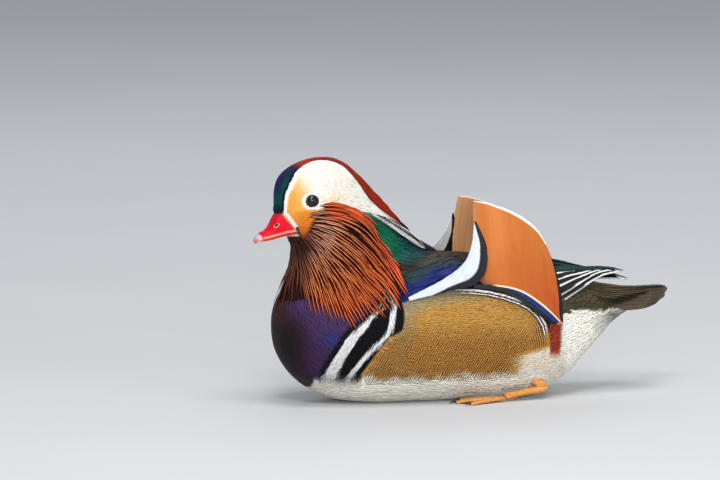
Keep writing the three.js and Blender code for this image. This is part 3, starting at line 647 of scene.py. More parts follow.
def body_colours(g):
    X, Y, z, x, y = (g[k] for k in ("X", "Y", "z", "x", "y"))
    n = len(X)
    C = np.tile(np.array([58.0, 50, 39]), (n, 1))  # mantle and back
    C = blend(C, (52, 58, 44), sm(-60, -100, x))
    # scapulars: brown, then teal, then blue with violet
    shell = (y > 10) & (z > 85) & (x < 62) & (x > -70)
    d = Y - line(X, [(400, 272), (425, 262), (450, 255), (475, 251)])
    C = blend(C, (28, 54, 52), shell * sm(1, 6, d))
    C = blend(C, (12, 30, 90), shell * sm(8, 15, d))
    C = blend(C, (38, 40, 116), shell * np.exp(-(((X - 446) / 13) ** 2 + ((Y - 273) / 6) ** 2)))
    C = blend(C, (10, 38, 110), shell * np.exp(-(((X - 415) / 12) ** 2 + ((Y - 290) / 7) ** 2)))
    C = blend(C, (26, 24, 26), (x < -2) * (y > 22) * (z > 60) * 1.0)
    C = blend(C, (70, 64, 46), (x < -80) * (z > 70) * 1.0)
    # flank
    edge, _ = near_line(X, Y, FLANK_TOP)
    inside = (Y > line(X, FLANK_TOP)) & (X < 551)
    flank = np.tile(np.array([190.0, 139, 62]), (n, 1))
    flank = blend(flank, (156, 140, 102), sm(22, 4, edge) * sm(505, 444, X))
    flank = blend(flank, (146, 132, 102), sm(424, 402, X) * 0.8)
    flank = blend(flank, (188, 126, 46), sm(322, 350, Y) * 0.7)
    flank = blend(flank, (238, 230, 214), 0.92 * sm(-3, 5, Y - (357 - (X - 515) * 0.30)) * sm(506, 530, X))
    blackline = np.interp(Y, *np.transpose(BLACK_REAR))
    C = blend(C, flank, inside * sm(blackline - 1, blackline + 1, X))
    g["flank"] = inside & ~g["head"] & (X > blackline - 1)
    g["edge"] = edge
    # belly, undertail, rust patch
    belly = np.tile(np.array([234.0, 229, 218]), (n, 1))
    C = blend(C, belly, sm(30, 22, z + 3 * wave(np.stack([x, y, z], -1), 9, 3)) * (x < 128))
    zt = np.interp(x, [-160, -130, -113.8, -98.3, -84.9], [78, 72, 74, 75.5, 72])
    C = blend(C, (247, 243, 232), sm(-82, -87, x) * sm(1, -1, z - zt))
    C = blend(C, (238, 230, 214), sm(548, 551, X) * sm(566, 563, X) * sm(344, 350, Y) * (x < -60) * (~g["head"]))
    rust = sm(549.5, 551.5, X) * sm(562, 559.5, X) * sm(314, 320, Y) * sm(360, 350, Y) * sm(26, 34, z)
    C = blend(C, (156, 54, 34), rust * (~g["head"]) * (x < -60))
    # breast and the two white bars
    black = np.interp(Y, *np.transpose(BLACK_REAR))
    b1f, b1r = (np.interp(Y, *np.transpose(t)) for t in BAR_1)
    b2f, b2r = (np.interp(Y, *np.transpose(t)) for t in BAR_2)
    low = sm(20, 30, z)
    front = (x > 40) & (Y > 255)
    C = blend(C, (16, 15, 20), front * sm(black + 0.7, black - 0.7, X) * low)
    # purple, maroon and the blue spot, set by place: partly the breast's own colour, partly painted iridescent sheen
    breast = np.tile(np.array([64.0, 42, 86]), (n, 1))
    breast = blend(breast, (54, 30, 62), sm(318, 350, Y) * 0.6)
    breast = blend(breast, (66, 24, 26), sm(300, 280, X + (Y - 300) * 0.25))
    breast = blend(breast, (26, 13, 14), sm(304, 338, Y) * sm(318, 288, X))
    breast = blend(breast, (34, 48, 110), np.exp(-(((X - 333) / 10) ** 2 + ((Y - 341) / 7) ** 2)))
    breast = blend(breast, (60, 26, 22), sm(284, 262, Y))
    C = blend(C, breast, front * sm(b1f - 5.0, b1f - 8.5, X) * low)
    C = blend(C, (236, 236, 236), front * sm(b1f - 0.6, b1f + 0.6, X) * sm(b1r + 0.6, b1r - 0.6, X) * low)
    C = blend(C, (238, 238, 238), front * sm(b2f - 0.5, b2f + 0.5, X) * sm(b2r + 0.5, b2r - 0.5, X) * low)
    g["bars"] = front & (X < black) & (X > b1f - 8)
    g["breast"] = front & (X <= b1f - 7)
    return C


def markings(p, head, g=None):
    g = g or places(p, head)
    h, t = head_colours(g), body_colours(g)
    C = np.where(head[:, None], h, t)
    C = blend(C, (60, 18, 14), (g["ruff"] & (~head)) * sm(292, 270, g["Y"] + (330 - g["X"]) * 0.15) * 0.9)
    return C


def is_head(p):
    return (head_f(p) < trunk_f(p)) & (p[:, 2] > 68)


# -------------------------------------------------------------------------- the skin
def make_skin():
    head = is_head(V0)
    q = to_head(V0)
    g = places(V0, head)
    depth = np.where(head, np.where(g["ruff"], 1.6, np.where(g["face"] | g["brow"] | g["crown"], 0.2, 0.6)), 0.26)
    body = body_colours(g) is not None
    depth = np.where(~head & g["ruff"], 1.7, depth)
    depth = np.where(~head & body & (V0[:, 2] > 84) & ~g["flank"] & ~g["ruff"], 0.9, depth)
    for _ in range(6):
        mean = np.zeros(len(V0))
        np.add.at(mean, F0.ravel(), depth[F0].mean(1).repeat(4))
        depth = mean / np.bincount(F0.ravel(), minlength=len(V0))
    S = V0 - N0 * depth[:, None]
    S[:, 2] = np.maximum(S[:, 2], 0.0)
    ob = mesh_of("skin", S, F0)
    C = markings(V0, head)
    put(ob, "tint", lin(C) * np.where((C.min(1) > 150) | g["flank"], 1.0, 0.8)[:, None])
    put_uv(ob, unwrap(V0, head))
    k = Look("skin", 0.75)
    mottle = k.noise(900, 3)
    k.set("Base Color", k.mix(0.10, k.attr("tint", "Color"), k.mix(k.step(mottle, 0.4, 0.62), (0.02, 0.015, 0.012), k.attr("tint", "Color"))))
    k.set("Specular IOR Level", 0.14)
    k.bump(mottle, 0.0001, 0.5)
    ob.data.materials.append(k.m)
    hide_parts("trunk", "breast", "rump", "neck", "head", "crest", "wing_left", "wing_right")
    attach(ob, "root")
    return ob


def unwrap(p, head):
    """Trunk on a cylinder in the lower half of the map, each side of the head on a disc above."""
    out = np.empty((len(p), 2))
    out[:, 0] = (p[:, 0] + 165) / 335
    out[:, 1] = (np.arctan2(p[:, 2] - 62, p[:, 1]) / (2 * np.pi)) % 1 * 0.48 + 0.01
    q = to_head(p) - np.array([10.0, 0, 150])
    r = np.maximum(np.linalg.norm(q, axis=1), 1e-6)
    far = np.arccos(np.clip(np.abs(q[:, 1]) / r, 0, 1)) / (np.pi / 2)
    th = np.arctan2(q[:, 2], q[:, 0])
    h = np.stack([np.where(q[:, 1] >= 0, 0.25, 0.75) + 0.235 * far * np.cos(th), 0.75 + 0.235 * far * np.sin(th)], -1)
    return np.where(head[:, None], h, out)


# --------------------------------------------------------------------- lie of the coat
# Guide lines over the left side, in the head's own frame (forward, left, up), root to tip.
GUIDES = {
    "ruff_edge": [(34.9, 22.3, 168.1), (26.3, 22.1, 169.3), (17.6, 21.6, 168.8), (8.5, 20.4, 166.9), (-2.6, 19.0, 162.7), (-10.7, 18.1, 157.9), (-18.2, 18.1, 151.2), (-22.6, 20.8, 142.3), (-25.9, 24.3, 134.1), (-30.5, 25.0, 128.1), (-35.9, 28.7, 120.0), (-36.6, 40.8, 113.1), (-38.5, 48.9, 104.0)],
    "ruff_2": [(36.9, 22.6, 162.7), (24.1, 23.4, 161.7), (9.8, 23.0, 158.7), (-2.9, 22.2, 152.9), (-13.8, 23.1, 143.9), (-22.1, 26.6, 132.0), (-31.7, 27.7, 120.9), (-35.6, 45.7, 107.9), (-41.4, 49.0, 93.8)],
    "ruff_3": [(40.3, 21.7, 157.7), (29.4, 24.4, 156.6), (15.6, 25.2, 152.9), (2.0, 26.2, 145.9), (-11.1, 30.0, 133.0), (-23.1, 31.7, 118.4), (-29.4, 46.6, 105.7), (-35.9, 55.5, 92.2)],
    "ruff_4": [(40.0, 21.1, 151.7), (32.2, 24.4, 150.4), (21.5, 27.4, 145.4), (8.5, 31.2, 135.8), (-5.8, 34.8, 122.9), (-18.6, 44.1, 106.7), (-27.4, 54.5, 92.4)],
    "ruff_5": [(39.7, 20.6, 147.4), (33.7, 23.7, 144.0), (25.7, 27.8, 136.4), (12.7, 35.6, 123.0), (-2.1, 40.2, 106.9), (-14.4, 53.9, 88.6)],
    "ruff_6": [(40.6, 18.8, 143.9), (34.3, 22.5, 136.3), (26.2, 30.2, 123.9), (15.5, 39.6, 107.5), (6.8, 48.5, 90.4), (-0.2, 54.1, 76.4)],
    "ruff_7": [(39.1, 18.4, 138.6), (33.4, 24.1, 126.9), (26.8, 33.2, 113.1), (21.1, 40.5, 96.8), (16.0, 49.7, 76.5)],
    "ruff_8": [(39.4, 16.4, 133.3), (35.6, 23.2, 121.8), (32.5, 32.1, 107.2), (29.5, 39.1, 92.7), (26.3, 46.1, 74.8)],
    "ruff_9": [(41.3, 13.3, 131.3), (39.0, 19.8, 118.1), (37.3, 29.0, 104.5), (36.3, 38.3, 86.0)],
    "throat_1": [(43.8, 8.1, 132.6), (43.6, 9.9, 119.7), (45.3, 16.7, 107.6), (47.6, 23.4, 93.1)],
    "throat_2": [(45.8, 2.0, 133.9), (45.5, 2.2, 121.3), (49.6, 4.8, 106.0), (55.9, 8.0, 89.7)],
    "chin": [(51.4, 1.7, 142.9), (49.0, 3.9, 140.1), (46.0, 6.0, 135.9), (43.2, 9.3, 130.9)],
    "face_1": [(57.8, 11.7, 167.8), (54.6, 14.8, 172.2), (49.6, 17.8, 176.4), (46.4, 19.0, 178.9)],
    "face_2": [(55.3, 10.5, 157.3), (49.4, 17.4, 161.2), (40.2, 21.6, 163.6), (31.4, 22.9, 165.8)],
    "face_3": [(48.0, 14.7, 150.6), (44.4, 18.6, 152.5), (38.5, 22.0, 152.6)],
    "brow_1": [(57.2, 12.5, 179.7), (53.3, 13.9, 187.2), (47.6, 13.9, 194.6), (35.9, 13.1, 200.6), (18.5, 12.2, 203.0), (4.1, 11.9, 197.2), (-11.0, 10.0, 184.3), (-23.5, 7.8, 172.3), (-37.2, 5.3, 161.1), (-53.0, 2.3, 149.7), (-64.5, 1.6, 139.6)],
    "brow_2": [(49.4, 17.4, 180.6), (44.3, 18.5, 186.4), (33.2, 19.0, 190.9), (17.0, 18.5, 189.2), (1.5, 16.0, 182.2), (-14.3, 12.8, 170.8), (-30.6, 8.8, 161.0), (-52.2, 3.7, 147.3)],
    "brow_3": [(31.1, 22.2, 172.5), (18.4, 21.3, 172.6), (3.0, 18.8, 169.0), (-13.0, 15.3, 163.5), (-29.4, 11.2, 156.2), (-50.8, 6.4, 143.4)],
    "crown_1": [(60.9, 8.4, 169.3), (60.3, 9.1, 180.3), (56.2, 10.4, 190.4), (47.8, 8.7, 200.0), (34.9, 7.3, 205.9), (20.9, 6.5, 207.4), (6.4, 5.0, 204.4), (-11.0, 3.6, 195.1), (-20.5, 2.6, 185.6), (-31.3, 1.9, 174.7), (-44.2, 1.2, 162.8), (-55.1, 0.8, 152.7), (-75.0, 0.4, 134.0)],
    "crown_0": [(64.5, 1, 170), (63.6, 1, 180), (60.5, 1, 192.4), (50.8, 1, 201.6), (35, 1, 208), (20.9, 1, 209.4), (5, 1, 206.6), (-11.0, 1, 196.4), (-20.5, 1, 188), (-40.8, 1, 168), (-56, 1, 152), (-75.0, 0.5, 134.0)],
    "crest_2": [(-13.6, 16.0, 161.0), (-28.4, 13.1, 153.0), (-44.3, 9.9, 143.3), (-59.2, 7.0, 134.0), (-74.0, 2.0, 128.0)],
    "nape_1": [(-4.8, 18.4, 162.6), (-15.0, 17.0, 156.7), (-28.6, 16.5, 145.7), (-42.4, 16.1, 135.5), (-60, 12, 124.7)],
    "nape_2": [(-17.9, 18.9, 150.0), (-29.5, 20.4, 137.7), (-42.3, 19.3, 127.2), (-54.4, 18.5, 119.4)],
    "nape_3": [(-24.5, 23.0, 137.4), (-32.9, 23.8, 127.8), (-39.5, 27.6, 118.7)],
}
_mid, _tan = [], []
for _g in GUIDES.values():
    _g = np.array(_g, float)
    for _a, _b in zip(_g[:-1], _g[1:]):
        for _t in (0.25, 0.75) if np.linalg.norm(_b - _a) > 9 else (0.5,):
            _mid.append(_a + (_b - _a) * _t)
            _tan.append((_b - _a) / np.linalg.norm(_b - _a))
_mid, _tan = np.array(_mid), np.array(_tan)


def head_flow(p):
    q = to_head(p)
    side = np.where(q[:, 1] < 0, -1.0, 1.0)
    q[:, 1] = np.abs(q[:, 1])
    out = np.empty_like(q)
    for i in range(0, len(q), 20000):
        d = ((q[i : i + 20000, None] - _mid[None]) ** 2).sum(-1) + 6.0
        w = 1 / (d * d)
        out[i : i + 20000] = (w[..., None] * _tan[None]).sum(1) / w.sum(1)[:, None]
    out[:, 1] *= side * sm(0, 6, q[:, 1])
    return unit(turn_vec(out, p[:, 2]))


def body_flow(p):
    x, y, z = p[:, 0], np.abs(p[:, 1]), p[:, 2]
    slope = np.interp(x, [-160, -110, -80, -30, 40, 80, 110, 140, 157], [0.25, 0.22, 0.14, 0.02, -0.06, -0.22, -0.55, -1.4, -4])
    slope = np.where(z > 84, np.where(y > 16, 0.3 * sm(84, 100, z) * sm(-60, -20, x) * sm(70, 50, x), 0.0) + slope * sm(104, 84, z), slope)
    slope = np.where(z < 30, slope * 0.3, slope)
    v = np.stack([-np.ones(len(p)), np.zeros(len(p)), slope], -1)
    X, Y = side_view(p, np.zeros(len(p), bool))
    b1f = np.interp(Y, *np.transpose(BAR_1[0]))
    black = np.interp(Y, *np.transpose(BLACK_REAR))
    bar = ((X > b1f - 6) & (X < black + 1) & (Y > 285) & (x > 40) & (z > 16)).astype(float)
    down = np.stack([np.interp(X, [345, 380, 400], [0.75, 0.5, -0.1]), np.zeros(len(p)), -np.ones(len(p))], -1)
    v = v * (1 - bar[:, None]) + down * bar[:, None]
    ruff = sm(66, 74, z) * sm(40, 56, x) * (np.interp(Y, *np.transpose(RUFF_REAR)) > X) * (1 - bar * sm(300, 312, Y))
    h = head_flow(p)
    return unit(v * (1 - ruff[:, None]) + h * ruff[:, None])


def flow(p, head):
    return np.where(head[:, None], head_flow(p), body_flow(p))


def along(v, n):
    return unit(v - n * (v * n).sum(-1, keepdims=True))


# ------------------------------------------------------------------ feathers by the many
WIDTHS = {
    "strand": lambda t: np.interp(t, [0, 0.15, 0.6, 0.85, 1], [0.45, 0.8, 1.0, 0.7, 0.05]),
    "hackle": lambda t: np.interp(t, [0, 0.12, 0.5, 0.8, 0.93, 1], [0.5, 0.85, 1.0, 0.8, 0.45, 0.03]),
    "round": lambda t: np.sqrt(np.clip(1 - (np.clip(t - 0.5, 0, 1) / 0.5) ** 2.4, 0.0, 1)) * np.interp(t, [0, 0.4], [0.62, 1.0]),
    "point": lambda t: np.clip(1 - np.clip(t - 0.35, 0, 1) / 0.65, 0.02, 1) ** 0.6 * np.interp(t, [0, 0.35], [0.55, 1.0]),
}


def vanes(name, P, N, L, W, head, look, seed=0, cols=3, rings=4, lift=(-1.3, 0.3), ridge=0.25, drop=0.3, shape="strand", sway=0.06, tint=None, ease=1.0, patch=(0.003, 0.003), uv_at=None, jitter=0.8, free=None, extra=None, path=None, hug=False):
    """One joined mesh of closed feathers that start at P and follow the lie of the coat."""
    r = np.random.default_rng(1000 + seed)
    n = len(P)
    if n == 0:
        return None
    L, W = np.broadcast_to(np.asarray(L, float), n), np.broadcast_to(np.asarray(W, float), n)
    t = np.linspace(0, 1, rings) ** 0.92
    if shape == "round":
        t = np.array([0, 0.3, 0.6, 0.82, 0.95, 1.0]) if rings == 6 else np.array([0, 0.4, 0.75, 0.93, 1.0]) if rings == 5 else t
    p, nn = P.copy(), N.copy()
    d = along(flow(p, head), nn)
    yaw = r.normal(0, sway, n)
    C, NN, DD, PP = [], [], [], []
    for k in range(rings):
        if path is not None:
            p, nn = path[0][:, k], path[1][:, k]
            d = along(path[0][:, min(k + 1, rings - 1)] - path[0][:, max(k - 1, 0)], nn)
        elif k:
            h = (L * (t[k] - t[k - 1]))[:, None]
            f = along(flow(p, head), nn)
            s = np.cross(nn, f)
            f = unit(f + s * (yaw * (1 + 0.5 * t[k]))[:, None])
            d = along(unit(f * 0.75 + d * 0.25), nn)
            q = p + d * h
            at, nq = settle(q)
            if free is not None:
                loose = free(q)
                at = np.where(loose[:, None], q, at)
                nq = np.where(loose[:, None], nn, nq)
            p, nn = at, unit(nq * 0.8 + nn * 0.2)
            d = along(d, nn)
        e = t[k] ** ease
        up = lift[0] + (lift[1] - lift[0]) * e
        C.append(p + nn * (up + 0 * L[:, None] if np.ndim(up) == 0 else up[:, None]))
        NN.append(nn), DD.append(d), PP.append(p)
    C, NN, DD, PP = (np.stack(v, 1) for v in (C, NN, DD, PP))
    S = np.cross(NN, DD)
    w = WIDTHS[shape](t)[None, :] * W[:, None]
    fv = np.linspace(-1, 1, cols)
    body = C[:, :-1, None, :] + S[:, :-1, None, :] * (fv[None, None, :, None] * w[:, :-1, None, None])
    body = body + NN[:, :-1, None, :] * ((ridge * (1 - np.abs(fv)) - drop * fv**2 * np.minimum(1, w[:, :-1, None] / np.maximum(W[:, None, None], 1e-6)) - fv**2 * w[:, :-1, None] ** 2 / 110.0))[..., None]
    m = cols
    K = rings - 1
    if hug:
        # every part of the vane lies on the body's own curve
        flat = (PP[:, :-1, None, :] + S[:, :-1, None, :] * (fv[None, None, :, None] * w[:, :-1, None, None])).reshape(-1, 3)
        at, nq = settle(flat)
        laid = at.reshape(n, K * m, 3)
        e = (lift[0] + (lift[1] - lift[0]) * t[:-1] ** ease)[None, :, None] + ridge * (1 - np.abs(fv)) - drop * fv**2
        body = (at + nq * np.broadcast_to(e, (n, K, m)).reshape(-1, 1)).reshape(n, K, m, 3)
    co = np.concatenate([body.reshape(n, K * m, 3), C[:, -1:, :]], 1).reshape(-1, 3)
    per = K * m + 1
    i = np.arange(K - 1)[:, None] * m + np.arange(m - 1)[None, :]
    top = np.stack([i, i + m, i + m + 1, i + 1], -1).reshape(-1, 4)
    j = np.arange(K - 1) * m
    bottom = np.stack([j, j + m - 1, j + 2 * m - 1, j + m], -1)
    quads = np.vstack([top, bottom])
    last = (K - 1) * m
    c = np.arange(m - 1)
    tip = np.stack([last + c, np.full(m - 1, K * m), last + c + 1], -1)
    under = np.array([[last, last + m - 1, K * m]])
    root = np.stack([np.zeros(m - 2, int), np.arange(1, m - 1), np.arange(2, m)], -1)
    tris = np.vstack([tip, under, root])
    off = (np.arange(n) * per)[:, None, None]
    quads = (quads[None] + off).reshape(-1, 4)
    tris = (tris[None] + off).reshape(-1, 3)
    co[:, 2] = np.maximum(co[:, 2], 0.12)
    # only the upper faces are shaded smooth, so that no dark line runs along the rims
    soft = np.concatenate([np.tile(np.arange((K - 1) * m) < (K - 1) * (m - 1), n), np.tile(np.arange(m + m - 2) < m - 1, n)])
    ob = mesh_of(name, co, quads, tris, soft)
    fu = np.concatenate([np.repeat(t[:-1], m), [1.0]])
    fvv = np.concatenate([np.tile(fv, K), [0.0]])
    surf = np.concatenate([np.repeat(PP[:, :-1], m, axis=1), PP[:, -1:]], 1).reshape(-1, 3)
    place = np.concatenate([(PP[:, :-1, None, :] + S[:, :-1, None, :] * (fv[None, None, :, None] * w[:, :-1, None, None])).reshape(n, K * m, 3), PP[:, -1:]], 1).reshape(-1, 3)
    if hug:
        place = np.concatenate([laid, PP[:, -1:]], 1).reshape(-1, 3)
    FU, FV = np.tile(fu, n), np.tile(fvv, n)
    rnd = np.repeat(r.random(n), per)
    hd = np.repeat(head, per)
    if tint is None:
        C3 = markings(place + np.repeat(r.normal(0, jitter, (n, 3)), per, axis=0), hd)
    else:
        C3 = tint(dict(place=place, root=np.repeat(P, per, axis=0), fu=FU, fv=FV, rnd=rnd, head=hd, n=n, per=per))
    put(ob, "tint", lin(np.clip(C3, 0, 255)))
    put(ob, "fu", FU), put(ob, "fv", FV), put(ob, "rnd", rnd)
    if extra is not None:
        for key, val in extra(place, hd).items():
            put(ob, key, val)
    if uv_at is None:
        base = np.repeat(unwrap(P, head), per, axis=0)
        put_uv(ob, base + np.stack([FV * patch[0] / 2, (FU - 0.5) * patch[1]], -1))
    else:
        put_uv(ob, uv_at(place, hd))
    ob.data.materials.append(look)
    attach(ob, "root")
    return ob


def feather_look(name, rough=0.62, barb=26.0, edge=0.25, vary=0.16, sheen=0.0, depth=0.0001, strength=0.5, root=0.8, specular=0.14):
    """Plumage: the vertex tint, darker towards root and rim, with fine barbs."""
    k = Look(name, rough)
    fu, fv, rnd, tint = k.attr("fu"), k.attr("fv"), k.attr("rnd"), k.attr("tint", "Color")
    rim = k.math("ABSOLUTE", fv)
    slant = k.math("ADD", k.math("MULTIPLY", fu, barb), k.math("MULTIPLY", rim, -barb * 0.16))
    barbs = k.math("SINE", k.math("ADD", k.math("MULTIPLY", slant, 6.283), k.math("MULTIPLY", rnd, 40)))
    grain = k.noise(1400, 2)
    shade = k.math("MULTIPLY", k.step(fu, 0.0, 0.45, root, 1.0), k.step(rim, 0.55, 1.0, 1.0, 1.0 - edge))
    shade = k.math("MULTIPLY", shade, k.math("ADD", k.math("MULTIPLY", rnd, vary), 1.0 - vary / 2))
    shade = k.math("MULTIPLY", shade, k.math("ADD", k.math("MULTIPLY", barbs, 0.05), 0.98))
    shade = k.math("MULTIPLY", shade, k.step(grain, 0.3, 0.7, 0.9, 1.06))
    k.set("Base Color", k.mix(1.0, tint, k.mix(shade, (0, 0, 0), (1, 1, 1)), "MULTIPLY"))
    k.set("Specular IOR Level", specular)
    if sheen:
        k.set("Sheen Weight", sheen)
        k.set("Sheen Roughness", 0.4)
    k.bump(k.math("ADD", k.math("MULTIPLY", barbs, 0.5), grain), depth, strength)
    return k


def hair_look(name, rough=0.7, vary=0.12, root=0.9, streak=0.12, sheen=0.0, specular=0.14):
    """Fine plumage: streaks run along each tuft."""
    k = Look(name, rough)
    fu, fv, rnd, tint = k.attr("fu"), k.attr("fv"), k.attr("rnd"), k.attr("tint", "Color")
    line = k.noise(1.0, 2, k.pack(k.math("ADD", k.math("MULTIPLY", fv, 2.6), k.math("MULTIPLY", rnd, 90)), k.math("MULTIPLY", fu, 1.6), k.math("MULTIPLY", rnd, 31)))
    shade = k.math("MULTIPLY", k.step(fu, 0.0, 0.5, root, 1.0), k.math("ADD", k.math("MULTIPLY", rnd, vary), 1.0 - vary / 2))
    shade = k.math("MULTIPLY", shade, k.step(line, 0.3, 0.7, 1.0 - streak, 1.0))
    k.set("Base Color", k.mix(1.0, tint, k.mix(shade, (0, 0, 0), (1, 1, 1)), "MULTIPLY"))
    k.set("Specular IOR Level", specular)
    if sheen:
        k.set("Sheen Weight", sheen)
        k.set("Sheen Roughness", 0.4)
    k.bump(line, 0.00004, 0.5)
    return k


# ---------------------------------------------------------------- the coat, by region
CAND, CAND_N = scatter(210000, 5)
CAND_HEAD = is_head(CAND)
CAND_G = places(CAND, CAND_HEAD)
body_colours(CAND_G)


def in_bill(p):
    q = to_head(p)
    a, b, z = q[:, 0], np.abs(q[:, 1]), q[:, 2]
    return (a > 49.5) & (b < BILL_AT["half"](a) + 3.3 * sm(58, 50, a) + 0.1) & (z < BILL_AT["ridge"](a) * 0.75 + BILL_AT["mouth"](a) * 0.25 + 1) & (z > BILL_AT["keel"](a) - 0.3)


def off_eye(p, r=5.7):
    return (np.linalg.norm(p - EYE_AT[1], axis=1) > r) & (np.linalg.norm(p - EYE_AT[-1], axis=1) > r)


FREE = ~in_bill(CAND) & off_eye(CAND, 5.9)
FLOORED = (CAND[:, 2] < 0.6) & (np.hypot(CAND[:, 0] / 40, CAND[:, 1] / 16) < 1)
G = CAND_G


def pick(mask, r, limit=None):
    i = np.nonzero(mask & FREE & ~FLOORED)[0]
    rr = r if np.ndim(r) == 0 else r[i]
    k = thin_out(CAND[i], rr)
    return i[k][:limit]


def crest_free(q):
    h = to_head(q)
    return (h[:, 0] < -73) & (h[:, 2] > 119)


def coat_face():
    dark = G["crown"] & (G["th"] < 52)
    mask = CAND_HEAD & (G["face"] | (G["brow"] & (G["X"] < 330)) | (G["crown"] & (G["th"] < 66)))
    k = hair_look("plumage_face", 0.8, vary=0.06, root=0.97, streak=0.06)
    i = pick(mask & ~dark, 0.92)
    L = 4.0 + 3.4 * sm(300, 335, G["X"][i])
    L = np.where(np.hypot(G["X"][i] - 312, G["Y"][i] - 201.5) < 13, 2.8, L)
    vanes("coat_face", CAND[i], CAND_N[i], L, 0.5, CAND_HEAD[i], k.m, 1, rings=4, lift=(-0.215, -0.16), ridge=0.01, drop=0.008, shape="strand", sway=0.1, jitter=0.1)
    k = hair_look("plumage_forehead", 0.6, vary=0.3, root=0.8, streak=0.3, specular=0.12)
    i = pick(mask & dark, 1.05)
    vanes("coat_forehead", CAND[i], CAND_N[i], 5.5, 0.62, CAND_HEAD[i], k.m, 1, rings=4, lift=(-0.23, -0.12), ridge=0.015, drop=0.01, shape="strand", sway=0.1, jitter=0.15)


def coat_brow():
    mask = CAND_HEAD & (G["brow"] | G["crown"]) & ~((G["face"] | (G["brow"] & (G["X"] < 326)) | (G["crown"] & (G["th"] < 62))))
    red = G["crown"]

    def tint(f):
        own, at = markings(f["root"], f["head"]), markings(f["place"], f["head"])
        # long strands keep the colour of their root for most of their length
        keep = (sm(1.0, 0.5, f["fu"]) * sm(340, 380, side_view(f["root"], f["head"])[0]))[:, None] * 0.6
        C = own * keep + at * (1 - keep)
        X = side_view(f["root"], f["head"])[0]
        grey = (f["rnd"] < 0.07) & (C.min(1) > 200) & (X > 345)
        return C * np.where(grey, 0.80, 1.0)[:, None]

    k = hair_look("plumage_crest", 0.75, vary=0.06, root=0.97, streak=0.07)
    i = pick(mask & ~red, 1.0)
    L = 7 + 17 * sm(335, 375, G["X"][i]) + 6 * sm(380, 400, G["X"][i])
    vanes("coat_brow", CAND[i], CAND_N[i], L, 0.5, CAND_HEAD[i], k.m, 2, rings=9, lift=(-0.215, -0.15), ridge=0.01, drop=0.008, shape="strand", sway=0.03, tint=tint, free=crest_free)
    k = hair_look("plumage_crown", 0.75, vary=0.3, root=0.85, streak=0.35, specular=0.08)
    i = pick(mask & red, 1.15)
    L = 8 + 17 * sm(335, 375, G["X"][i]) + 8 * sm(380, 400, G["X"][i])
    vanes("coat_crown", CAND[i], CAND_N[i], L, 0.55, CAND_HEAD[i], k.m, 22, rings=8, lift=(-0.24, -0.06), ridge=0.02, drop=0.015, shape="strand", sway=0.03, tint=tint, free=crest_free)


def coat_nape():
    mask = CAND_HEAD & G["nape"]
    i = pick(mask, 1.35)
    L = 15 + 12 * sm(370, 395, G["X"][i])
    k = hair_look("plumage_nape", 0.5, vary=0.6, root=0.6, streak=0.55, specular=0.2)

    def tint(f):
        own, at = markings(f["root"], f["head"]), markings(f["place"], f["head"])
        keep = sm(1.0, 0.3, f["fu"])[:, None] * 0.5
        return own * keep + at * (1 - keep)

    vanes("coat_nape", CAND[i], CAND_N[i], L, 0.65, CAND_HEAD[i], k.m, 3, rings=6, lift=(-0.8, 0.3), ridge=0.16, drop=0.06, shape="strand", sway=0.05, tint=tint, free=crest_free)


def finder(mask):
    """Looks up the outer surface's place that shows at X, Y of the side plan."""
    from mathutils.kdtree import KDTree
    i = np.nonzero(mask)[0]
    tree = KDTree(len(i))
    for j, x, y in zip(i.tolist(), G["X"][i].tolist(), G["Y"][i].tolist()):
        tree.insert((x, y, 0), j)
    tree.balance()

    def find(X, Y, far=2.5):
        hits = [tree.find((x, y, 0)) for x, y in zip(np.ravel(X).tolist(), np.ravel(Y).tolist())]
        return np.array([h[1] for h in hits]), np.array([h[2] for h in hits]) < far

    return find


def coat_filaments():
    """Long single white and dark strands of the crest."""
    k = hair_look("plumage_strands", 0.6, vary=0.1, root=0.95, streak=0.1)
    for side, name in ((1, "strands_left"), (-1, "strands_right")):
        find = finder(CAND_HEAD & (G["q"][:, 1] * side > 0.3) & (G["X"] > 355))
        paths, normals, colours, widths = [], [], [], []
        rings = 14
        t = np.linspace(0, 1, rings)
        for j, (x0, x1, off, bow, w, c) in enumerate([
            (366, 424, -1.0, -0.6, 0.30, 242), (369, 429, 0.1, 0.0, 0.36, 246), (374, 427, 1.1, 0.8, 0.30, 240), (380, 430, -0.4, 1.4, 0.26, 238),
            (388, 431, 2.2, 0.6, 0.24, 228), (384, 420, 0.6, -1.6, 0.24, 236), (372, 412, 2.6, 0.4, 0.22, 214),
            (382, 426, -3.4, 0.2, 0.30, 22), (378, 430, -2.2, 0.5, 0.26, 30), (392, 433, 3.6, 0.4, 0.26, 26), (398, 434, -5.0, 0.4, 0.26, 60),
            (386, 418, -7.6, 0.0, 0.3, 244), (392, 424, -8.6, 0.4, 0.26, 240), (388, 430, -6.4, 0.3, 0.24, 236),
        ]):
            X = x0 + (x1 - x0) * t
            Y = line(X, LINE_2) + off * (0.5 + 0.5 * t) + bow * np.sin(np.pi * t)
            i, ok = find(X, Y, 6)
            p, q = settle(smooth_path(CAND[i]))
            # the ends of the strands leave the crest and hang free
            loose = sm(0.8, 1.0, t)[:, None]
            paths.append(p + np.array([-3.0, 0, -1.0]) * loose * 0.5), normals.append(q), colours.append(c), widths.append(w)
        P, Q = np.array(paths), np.array(normals)
        shade = np.repeat(np.array(colours, float), (rings - 1) * 3 + 1)

        def tint(f):
            C = np.stack([shade, shade * 0.99, shade * 0.97 + 2], -1)
            return np.where(shade[:, None] > 100, C, C + np.array([0, 2, 10]))

        vanes(name, P[:, 0], Q[:, 0], 40, np.array(widths), np.ones(len(P), bool), k.m, 40 + side, rings=rings, lift=(-0.3, 0.55), ridge=0.22, drop=0.05, shape="strand", sway=0.0, tint=tint, path=(P, Q), patch=(0.003, 0.006), ease=0.5)


